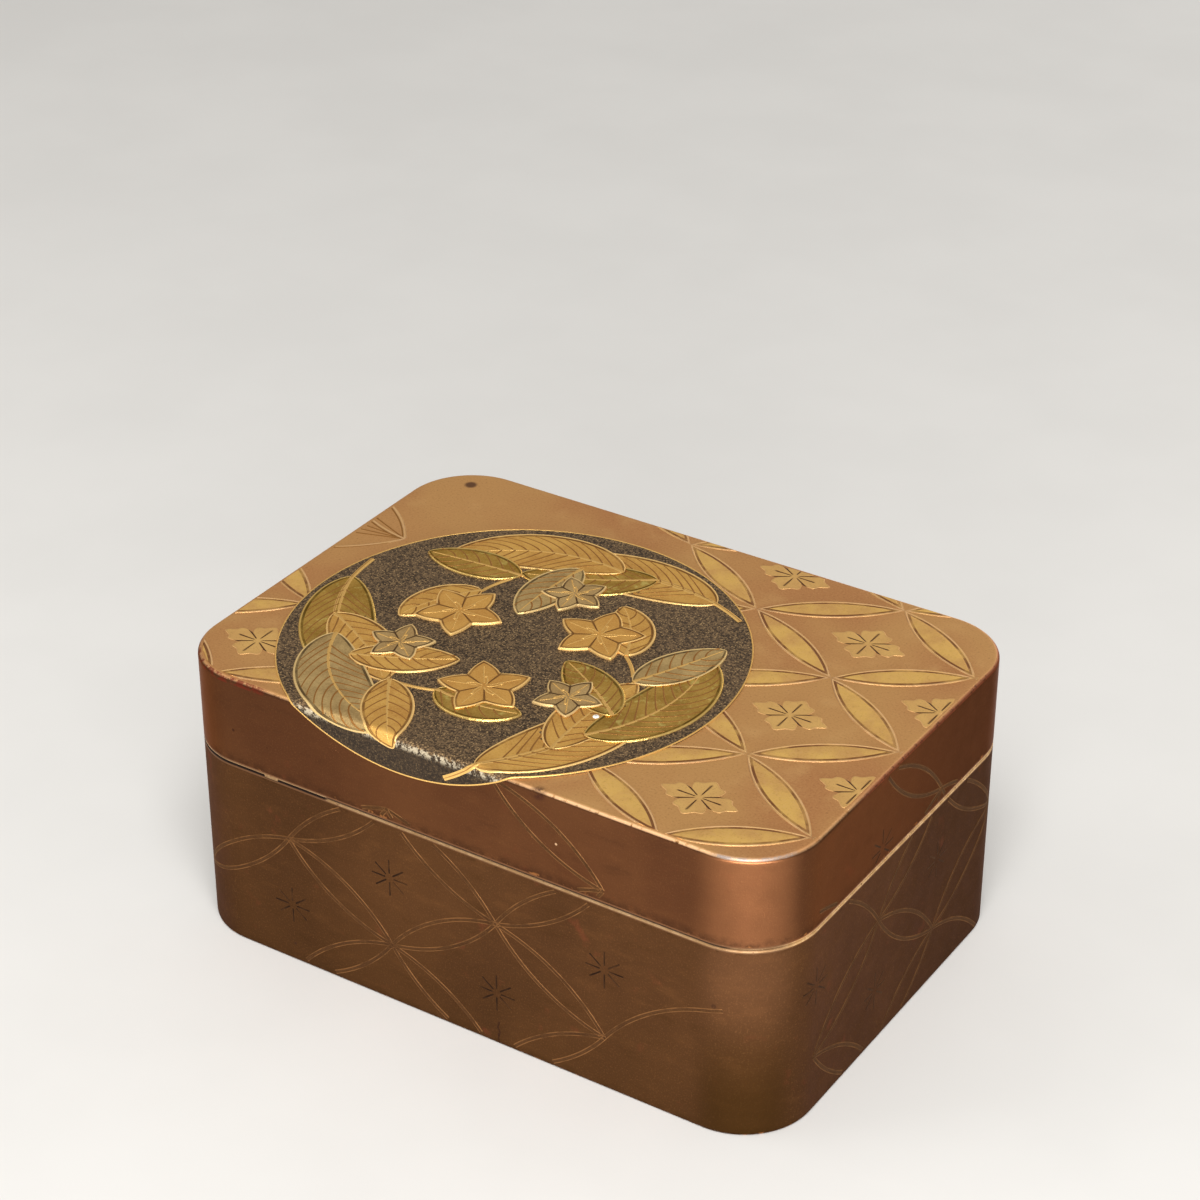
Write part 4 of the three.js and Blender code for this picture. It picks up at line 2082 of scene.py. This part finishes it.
@dataclass(frozen=True)
class WallField:
    """One wall's part of the circle pattern, by lattice column and row.

    A rising lens goes from its node to the next column and one row up, and a falling lens one
    row down. An arc is one edge of a lens. The first node and the steps are millimetres from
    the wall's middle and from the foot.
    """

    wall: Wall
    origin: FlatPlace
    span: FlatPlace
    rising: tuple[Node, ...]
    falling: tuple[Node, ...]
    arcs: tuple[tuple[Node, Node], ...]
    flowers: tuple[Node, ...]
    shifts: tuple[tuple[Node, FlatPlace], ...] = ()

    def place(self, node: Node) -> Array:
        """Gives a node's place from the wall's middle: even steps, plus its hand-drawn shift."""
        even = np.array(self.origin) + np.array(node) * self.span
        return even + dict(self.shifts).get(node, (0.0, 0.0))

    def lenses(self) -> list[tuple[Node, Node]]:
        """Lists the two nodes of each lens.

        Returns:
            Pairs of nodes.
        """
        pairs = []
        for step, nodes in ((1, self.rising), (-1, self.falling)):
            pairs += [((column, row), (column + 1, row + step)) for column, row in nodes]
        return pairs


WALL_FIELDS = (
    WallField(
        Wall.FRONT,
        origin=(-18.2, 15.0),
        span=(26.9, 17.5),
        rising=((-2, 0), (-1, 1), (0, 0), (1, 1), (-1, -1), (1, -1)),
        falling=((-1, 1), (0, 2), (1, 3), (1, 1), (0, 0)),
        arcs=(((2, 0), (3, 1)),),
        flowers=((-1, 0), (0, 1), (1, 0), (2, 1)),
        shifts=(
            ((1, -1), (0.2, -1.6)),
            ((1, 0), (0.3, -1.6)),
            ((1, 1), (0.3, -1.2)),
            ((2, 0), (0.4, -1.9)),
            ((2, 1), (0.4, -2.0)),
            ((3, 1), (1.3, -1.2)),
        ),
    ),
    WallField(
        Wall.RIGHT,
        origin=(-10.3, 32.3),
        span=(26.3, 18.2),
        rising=((1, -1), (0, 0), (-1, -1), (0, -2)),
        falling=((0, 2), (0, 0), (1, 1), (-1, -1)),
        arcs=(((-1, 1), (0, 0)), ((1, -1), (2, -2))),
        flowers=((-1, 0), (0, -1), (1, 0), (0, 1)),
    ),
    WallField(
        Wall.BACK,
        origin=(4.6, 32.3),
        span=(26.9, 17.5),
        rising=((-2, 0), (-1, -1), (0, 0), (-1, 1)),
        falling=((-2, 0), (-1, 1), (0, 0), (1, 1)),
        arcs=(((1, -1), (2, 0)),),
        flowers=((-1, 0), (0, -1), (1, 0)),
    ),
    WallField(
        Wall.LEFT,
        origin=(8.2, 15.0),
        span=(26.6, 17.8),
        rising=((0, 0), (-1, 1), (-2, 0)),
        falling=((-1, 1), (0, 0)),
        arcs=(((-1, -1), (0, 0)),),
        flowers=((-1, 0), (0, 1), (1, 0)),
    ),
)


@dataclass
class WallPattern:
    """The faint double lines of the circle pattern round the walls, and its flowers' strokes."""

    form: BoxForm
    swell: float = 3.1
    half_width: float = 0.52
    rise: float = 0.06
    stroke_half_width: float = 0.19
    stroke_rise: float = 0.03
    margin: float = 0.5
    foot_margin: float = 1.2
    edge_margin: float = 0.2

    def place(self, field: WallField, node: Node) -> Array:
        """Gives the place of a lattice point on the unrolled walls."""
        middle = field.wall.value * self.form.outline.knots[-1] / 4
        return field.place(node) + [middle, 0.0]

    def edges(self, field: WallField) -> list[Array]:
        """Draws the two edges of each lens, and one edge of each single arc.

        Args:
            field: The wall's part of the pattern.

        Returns:
            The paths.
        """
        share = np.linspace(0.0, 1.0, 160)
        drawn = []
        for pairs, sides in ((field.lenses(), (1, -1)), (field.arcs, (1,))):
            for pair in pairs:
                lens = Lens(*(self.place(field, node) for node in pair), swell=self.swell)
                drawn += [lens.at(share, np.full_like(share, side)) for side in sides]
        return drawn

    def strokes(self, field: WallField) -> list[Array]:
        """Draws the eight strokes of each flower.

        Args:
            field: The wall's part of the pattern.

        Returns:
            The paths.
        """
        ways = towards(np.radians([0, 38, 90, 142, 180, 218, 270, 322]))
        reach = np.linspace(1.1, 4.6, 8)[:, None]
        return [self.place(field, node) + reach * way for node in field.flowers for way in ways]

    def add_paths(
        self,
        piece: Piece,
        paths: list[Array],
        span: tuple[float, float],
        section: tuple[float, float, Bead],
    ) -> None:
        """Adds the part of each path that lies between two heights.

        Args:
            piece: The piece to add to.
            paths: The paths, by the distance round the CAD's outline and the height.
            span: The lowest and highest height.
            section: The line's half width, its rise and its cross section.
        """
        half_width, rise, bead = section
        scale = self.form.skin.knots[-1] / self.form.outline.knots[-1]
        for path in paths:
            kept = path[(path[:, 1] >= span[0]) & (path[:, 1] <= span[1])] * [scale, 1.0]
            if len(kept) > 4:
                add_line(piece, kept, half_width, rise, bead=bead)

    def dress(self) -> None:
        """Builds the lines and strokes of the base and of the lid."""
        form = self.form
        joint = form.band + self.margin
        shoulder = form.top - form.edge_round
        spans = {
            "base": (self.foot_margin, form.seam - joint),
            "lid": (form.seam + joint, shoulder - self.edge_margin),
        }
        right = form.skin.half_length
        # The lines get painted shade on the right wall.
        line_gold, mark_gold = (
            replace(gold, right=right).material() for gold in (WALL_LINE_GOLD, WALL_MARK)
        )
        line = (self.half_width, self.rise, TWIN_BEAD)
        stroke = (self.stroke_half_width, self.stroke_rise, ROUND_BEAD)
        for body, span in spans.items():
            lines = Piece(f"{body}_wall_lines", WallChart(form.skin))
            marks = Piece(f"{body}_wall_marks", WallChart(form.skin))
            for field in WALL_FIELDS:
                self.add_paths(lines, self.edges(field), span, line)
                self.add_paths(marks, self.strokes(field), span, stroke)
            lines.make(body, "raised_gold", [line_gold])
            if marks.count:
                marks.make(body, "raised_gold", [mark_gold])


LEAF_RELIEF = Relief(
    steps=(0.0, 0.1, 0.26, 0.42, 0.6, 0.85),
    heights=(0.02, 0.2, 0.26, 0.21, 0.13, 0.12),
    dome=0.1,
    inner_steps=7,
)
BLOSSOM_RELIEF = Relief(
    steps=(0.0, 0.1, 0.26, 0.45, 0.65, 0.9),
    heights=(0.02, 0.2, 0.27, 0.24, 0.18, 0.18),
    dome=0.04,
    inner_steps=9,
    lift=0.62,
)
GROUND_RELIEF = Relief((0.0, 0.1, 0.3, 0.6), (0.12, 0.26, 0.3, 0.3), dome=0.0, inner_steps=10)
DOT_RELIEF = Relief((0.0, 0.1, 0.25, 0.45), (0.0, 0.14, 0.22, 0.26), 0.04, 3, lift=0.5)
STAMEN_RELIEF = Relief((0.0, 0.1, 0.2), (0.0, 0.1, 0.14), 0.03, 2, BLOSSOM_RELIEF.lift + 0.18)


class SprayFinish(Enum):
    """The finishes of a spray's parts, by their number in its materials."""

    OCHRE = 0
    FOIL = 1
    SILVER = 2
    LINE = 3
    VEIN = 4
    BLOSSOM = 5
    SILVER_BLOSSOM = 6


OCHRE, FOIL, SILVER, LINE, VEIN, *BLOSSOMS = (finish.value for finish in SprayFinish)
SPRAY_LEAVES = (
    (OCHRE, FOIL, OCHRE, SILVER, FOIL, OCHRE),
    (FOIL, OCHRE, SILVER, OCHRE, OCHRE, FOIL),
    (OCHRE, OCHRE, FOIL, FOIL, SILVER, OCHRE),
)


@dataclass(frozen=True)
class LeafPlan:
    """Where a leaf leaves the stem, and its form."""

    place: float
    side: int
    angle: float
    length: float
    width: float
    bend: float


LEAF_PLANS = (
    LeafPlan(0.02, 1, -7, 47.0, 17.0, 40),
    LeafPlan(0.2, -1, 34, 31.0, 13.5, -22),
    LeafPlan(0.3, 1, 27, 43.0, 16.0, 66),
    LeafPlan(0.42, -1, 48, 24.0, 11.5, 14),
    LeafPlan(0.62, 1, 56, 24.0, 11.5, 6),
    LeafPlan(0.8, 1, 34, 21.0, 11.0, 30),
)


@dataclass
class Spray:
    """One stem of the roundel with its leaves, veins and blossoms."""

    form: BoxForm
    number: int
    turn: float
    finishes: tuple[int, ...]
    ground: float = 0.3
    layer: float = 0.04
    sunk: float = 0.02
    sweep: float = 112.0
    outer: float = 0.93
    inner: float = 0.36
    tail: float = -0.07
    blossom_radius: float = 10.4
    side_blossom_radius: float = 7.8
    side_place: float = 0.36
    side_angle: float = 70.0
    side_length: float = 12.6
    vein_pitch: float = 4.2

    def stem(self, place: Union[Array, float]) -> Array:
        """Gives the stem's point: its reach shrinks and its angle grows evenly along it.

        Args:
            place: The share of the way along the stem.

        Returns:
            The flat point.
        """
        place = np.asarray(place)
        reach = self.form.roundel_radius * (self.outer + (self.inner - self.outer) * place)
        angle = np.radians(self.turn + self.sweep * place)
        return np.array(self.form.roundel_centre) + reach[..., None] * towards(angle)

    def heading(self, place: float) -> float:
        """Gives the stem's direction at a place along it."""
        step = self.stem(place + 1e-3) - self.stem(place - 1e-3)
        return math.atan2(step[1], step[0])

    def leaf(self, plan: LeafPlan) -> Leaf:
        """Places a leaf by its plan."""
        heading = self.heading(plan.place) - plan.side * math.radians(plan.angle)
        return Leaf(self.stem(plan.place), heading, plan.length, plan.width, math.radians(plan.bend))

    def add_leaf(self, piece: Piece, leaf: Leaf, finish: int, lift: float, above: tuple) -> None:
        """Adds a leaf with its midrib and side veins.

        Args:
            piece: The piece to add to.
            leaf: The leaf.
            finish: The number of its finish.
            lift: The height that it stands on.
            above: Shapes that lie over it.
        """
        relief = replace(LEAF_RELIEF, lift=lift)
        piece.finish_now = finish
        rows = 0.5 - 0.4985 * np.cos(np.linspace(0, math.pi, 64))
        leaf.add_to(piece, relief, rows, above=above)
        piece.finish_now = LINE
        share = np.linspace(0.0, 0.95, 60)
        under = leaf.height_at(share + 0.005, np.zeros_like(share), relief) - 0.03
        width = np.interp(share, [0, 0.2, 0.95], [0.5, 0.4, 0.14])
        add_line(piece, leaf.middle(share), width, 0.1, under, above=above)
        piece.finish_now = VEIN
        along = np.linspace(0, 1, 20)
        width = np.linspace(0.26, 0.15, 20)
        for start in np.linspace(0.1, 0.74, round(leaf.length / self.vein_pitch)):
            for side in (1, -1):
                aside = side * 0.86 * along
                share = start + 0.03 * side + 0.19 * along**1.35
                under = leaf.height_at(share, aside, relief) - 0.03
                add_line(piece, leaf.at(share, aside), width, 0.09, under, above=above)

    def blossom(self, centre: Array, radius: float, heading: float) -> Rosette:
        """Places a five-pointed blossom."""
        return Rosette(centre, radius, heading, lobes=5, waist=0.6, point=1.3)

    def add_blossom(self, piece: Piece, blossom: Rosette, finish: int) -> None:
        """Adds a blossom with creases between its petals, a line on each and fine stamens.

        Args:
            piece: The piece to add to.
            blossom: The blossom.
            finish: The number of its finish.
        """
        radius = blossom.radius
        petals = FULL_TURN / 5 * np.arange(5)
        notches = petals + FULL_TURN / 10
        piece.finish_now = finish
        creases = tuple(Stroke(angle, 0.8, 0.6 * radius) for angle in notches)
        blossom.add_to(piece, BLOSSOM_RELIEF, creases)
        piece.finish_now = LINE
        along = radius * np.linspace(0.12, 0.78, 16)[:, None]
        for angle in blossom.turn + petals:
            line = blossom.centre + along * towards(angle)
            add_line(piece, line, 0.15, 0.07, BLOSSOM_RELIEF.lift + 0.19)
        reach = radius * np.linspace(0.05, 0.36, 14)[:, None]
        for angle in blossom.turn + notches:
            line = blossom.centre + reach * towards(angle + np.linspace(0, 0.5, 14))
            add_line(piece, line, 0.17, 0.08, BLOSSOM_RELIEF.lift + 0.2)
            Rosette(line[-1], 0.42, columns=12).add_to(piece, STAMEN_RELIEF)

    def dress(self, materials: list[Material]) -> None:
        """Builds the spray, which stands for its CAD node.

        Args:
            materials: The materials of its finishes, by number.
        """
        piece = Piece(f"bellflower_spray_{self.number}", self.form.top_chart)
        side_heading = self.heading(self.side_place) + math.radians(self.side_angle)
        stalk_way = self.side_length * towards(side_heading)
        stalk = self.stem(self.side_place) + np.linspace(0, 1, 30)[:, None] * stalk_way
        leaves = tuple(self.leaf(plan) for plan in LEAF_PLANS)
        blossoms = (
            self.blossom(self.stem(1.0), self.blossom_radius, self.heading(1.0)),
            self.blossom(stalk[-1], self.side_blossom_radius, side_heading),
        )
        piece.finish_now = LINE
        place = np.linspace(self.tail, 1.0, 200)
        width = np.interp(place, [self.tail, 0.3, 1.0], [0.62, 0.55, 0.42])
        over_stem = leaves[1:] + blossoms
        under = self.ground - self.sunk
        add_line(piece, self.stem(place), width, 0.3, under, above=over_stem)
        add_line(piece, stalk, 0.4, 0.26, under, above=over_stem)
        for order, (leaf, finish) in enumerate(zip(leaves, self.finishes)):
            above = leaves[order + 1 :] + blossoms
            self.add_leaf(piece, leaf, finish, self.ground + self.layer * order, above)
        for blossom, finish in zip(blossoms, BLOSSOMS):
            self.add_blossom(piece, blossom, finish)
        piece.make("lid", "raised_gold", materials, (f"roundel_spray_{self.number}",))


@dataclass
class Roundel:
    """The dark speckled roundel with three sprays, laid over the lid's top and front edge."""

    form: BoxForm
    turns: tuple[float, ...] = (52.0, 172.0, 292.0)
    rim_half_width: float = 0.18
    dot_place: FlatPlace = (15.3, -24.5)
    dot_radius: float = 0.75

    def build_ground(self) -> Piece:
        """Builds the dark ground, with extra rows where it turns over the edge.

        Returns:
            The piece.
        """
        chart = self.form.top_chart
        disc = Disc(self.form.roundel_centre, self.form.roundel_radius)
        even = np.linspace(0.003, 0.997, 90)
        bend = chart.bend_line - np.linspace(-0.1, 1.1, 9) * chart.bend_radius * QUARTER_TURN
        piece = Piece("roundel_dark_ground", chart)
        disc.add_to(piece, GROUND_RELIEF, np.union1d(even, disc.share_at(bend)))
        return piece

    def build_rim(self) -> Piece:
        """Builds the thin gold line round the ground.

        Returns:
            The piece.
        """
        circle = towards(np.linspace(0, FULL_TURN, 900) - QUARTER_TURN)
        reach = self.form.roundel_radius - self.rim_half_width
        path = np.array(self.form.roundel_centre) + reach * circle
        piece = Piece("roundel_rim_line", self.form.top_chart)
        add_line(piece, path, self.rim_half_width, 0.14, 0.26)
        return piece

    def build_dot(self) -> Piece:
        """Builds the small pearly dot that stands on the leaves.

        Returns:
            The piece.
        """
        piece = Piece("roundel_pearl_dot", self.form.top_chart)
        Rosette(self.dot_place, self.dot_radius, columns=28).add_to(piece, DOT_RELIEF)
        return piece

    def dress(self) -> None:
        """Builds the ground, the rim line, the dot and the sprays."""
        ground = SpeckledGround("speckled_dark_ground", self.form.top)
        self.build_ground().make("lid", "dark_ground", [ground.material()], ("roundel_ground",))
        lines = LINE_GOLD.material()
        self.build_rim().make("lid", "raised_gold", [lines])
        self.build_dot().make("lid", "raised_gold", [PEARL.material()])
        materials = [gold.material() for gold in (OCHRE_LEAF, FOIL_LEAF, SILVER_LEAF)]
        materials.append(lines)
        materials += [gold.material() for gold in (VEIN_GOLD, BLOSSOM_GOLD, BLOSSOM_SILVER)]
        for number, (turn, finishes) in enumerate(zip(self.turns, SPRAY_LEAVES), start=1):
            Spray(self.form, number, turn, finishes).dress(materials)


# The studio


def out_towards(azimuth: float, elevation: float) -> Vector:
    """Gives the direction from the box to a place round it.

    Args:
        azimuth: The angle from the front towards the right, in degrees.
        elevation: The angle above the floor, in degrees.

    Returns:
        The direction, of length 1.
    """
    turn = math.radians(azimuth)
    tilt = math.radians(elevation)
    level = math.cos(tilt)
    return Vector((math.sin(turn) * level, -math.cos(turn) * level, math.sin(tilt)))


@dataclass(frozen=True)
class Lamp:
    """One flat lamp that faces the box, with its distance and size in metres and power in watts."""

    name: str
    azimuth: float
    elevation: float
    distance: float
    size: tuple[float, float]
    power: float

    def light(self) -> None:
        """Makes the lamp."""
        out = out_towards(self.azimuth, self.elevation)
        data = bpy.data.lights.new(self.name, "AREA")
        data.shape = "RECTANGLE"
        data.size, data.size_y = self.size
        data.energy = self.power
        lamp = placed(self.name, data)
        lamp.location = out * self.distance
        lamp.rotation_euler = out.to_track_quat("Z", "Y").to_euler()


LAMPS = (
    Lamp("key_lamp", 34.0, 58.0, 1.5, (0.7, 0.7), 16.0),
    Lamp("corner_lamp", 33.0, 6.0, 0.9, (0.8, 0.18), 13.0),
    Lamp("fill_lamp", -60.0, 40.0, 1.8, (1.0, 1.0), 4.0),
    Lamp("back_lamp", 185.0, 10.0, 1.4, (0.8, 0.4), 2.4),
)


@dataclass
class Studio:
    """A pale floor, soft lamps and the camera that matches the photograph.

    The camera looks at the box from an azimuth, an elevation and a distance, and is moved aside
    to the right and up to frame the box as the photograph does.
    """

    form: BoxForm
    azimuth: float = 32.83
    elevation: float = 30.29
    distance: float = 669.1
    aside: tuple[float, float] = (0.4, 39.6)
    lens: float = 90.906
    sensor: float = 36.0
    floor_reach: float = 12.0
    surroundings: Tone = (236, 234, 231)
    surroundings_strength: float = 0.5

    def place_camera(self) -> None:
        """Puts the camera where the photograph was taken from."""
        turn = math.radians(self.azimuth)
        back = out_towards(self.azimuth, self.elevation)
        right = Vector((math.cos(turn), math.sin(turn), 0.0))
        up = back.cross(right)
        centre = Vector((0.0, 0.0, self.form.top / 2))
        place = centre + back * self.distance + right * self.aside[0] + up * self.aside[1]
        data = bpy.data.cameras.new("photograph_camera")
        data.lens = self.lens
        data.sensor_width = self.sensor
        camera = placed("photograph_camera", data)
        turned = Matrix((right, up, back)).transposed().to_4x4()
        camera.matrix_world = Matrix.Translation(place * MM) @ turned
        bpy.context.scene.camera = camera

    def lay_floor(self) -> None:
        """Lays a wide pale floor under the box."""
        paint = Paint("pale_floor")
        colour = paint.layered(
            (224, 222, 218), (paint.cloud(60, 3).rise(0.3, 0.7), (221, 219, 215))
        )
        places = np.linspace(-self.floor_reach, self.floor_reach, 5)
        x, y = np.meshgrid(places, places)
        points = np.stack([x, y, np.zeros_like(x)], axis=-1).reshape(-1, 3)
        index = np.arange(25).reshape(5, 5)
        faces = np.stack([index[:-1, :-1], index[:-1, 1:], index[1:, 1:], index[1:, :-1]], -1)
        mesh = bpy.data.meshes.new("pale_floor")
        mesh.from_pydata(points.tolist(), [], faces.reshape(-1, 4).tolist())
        mesh.materials.append(
            paint.finish(Base_Color=colour, Roughness=0.7, Specular_IOR_Level=0.2)
        )
        floor = placed("pale_floor", mesh)

    def light(self) -> None:
        """Sets the lamps and the pale surroundings."""
        world = bpy.data.worlds.new("pale_studio")
        world.use_nodes = True
        background = world.node_tree.nodes["Background"]
        background.inputs["Color"].default_value = Paint.tone(self.surroundings)
        background.inputs["Strength"].default_value = self.surroundings_strength
        bpy.context.scene.world = world
        for lamp in LAMPS:
            lamp.light()

    def dress(self) -> None:
        """Sets up the whole studio."""
        self.place_camera()
        self.lay_floor()
        self.light()
        bpy.context.scene.view_settings.view_transform = "Standard"


def main() -> None:
    """Builds and dresses the whole box."""
    logging.basicConfig(level=logging.INFO, format="%(message)s")
    form = BoxForm.from_frame()
    for part in (Studio, LidSkin, BaseSkin, Riser, RimBands, CirclePattern, WallPattern, Roundel):
        part(form).dress()


if __name__ == "__main__":
    main()
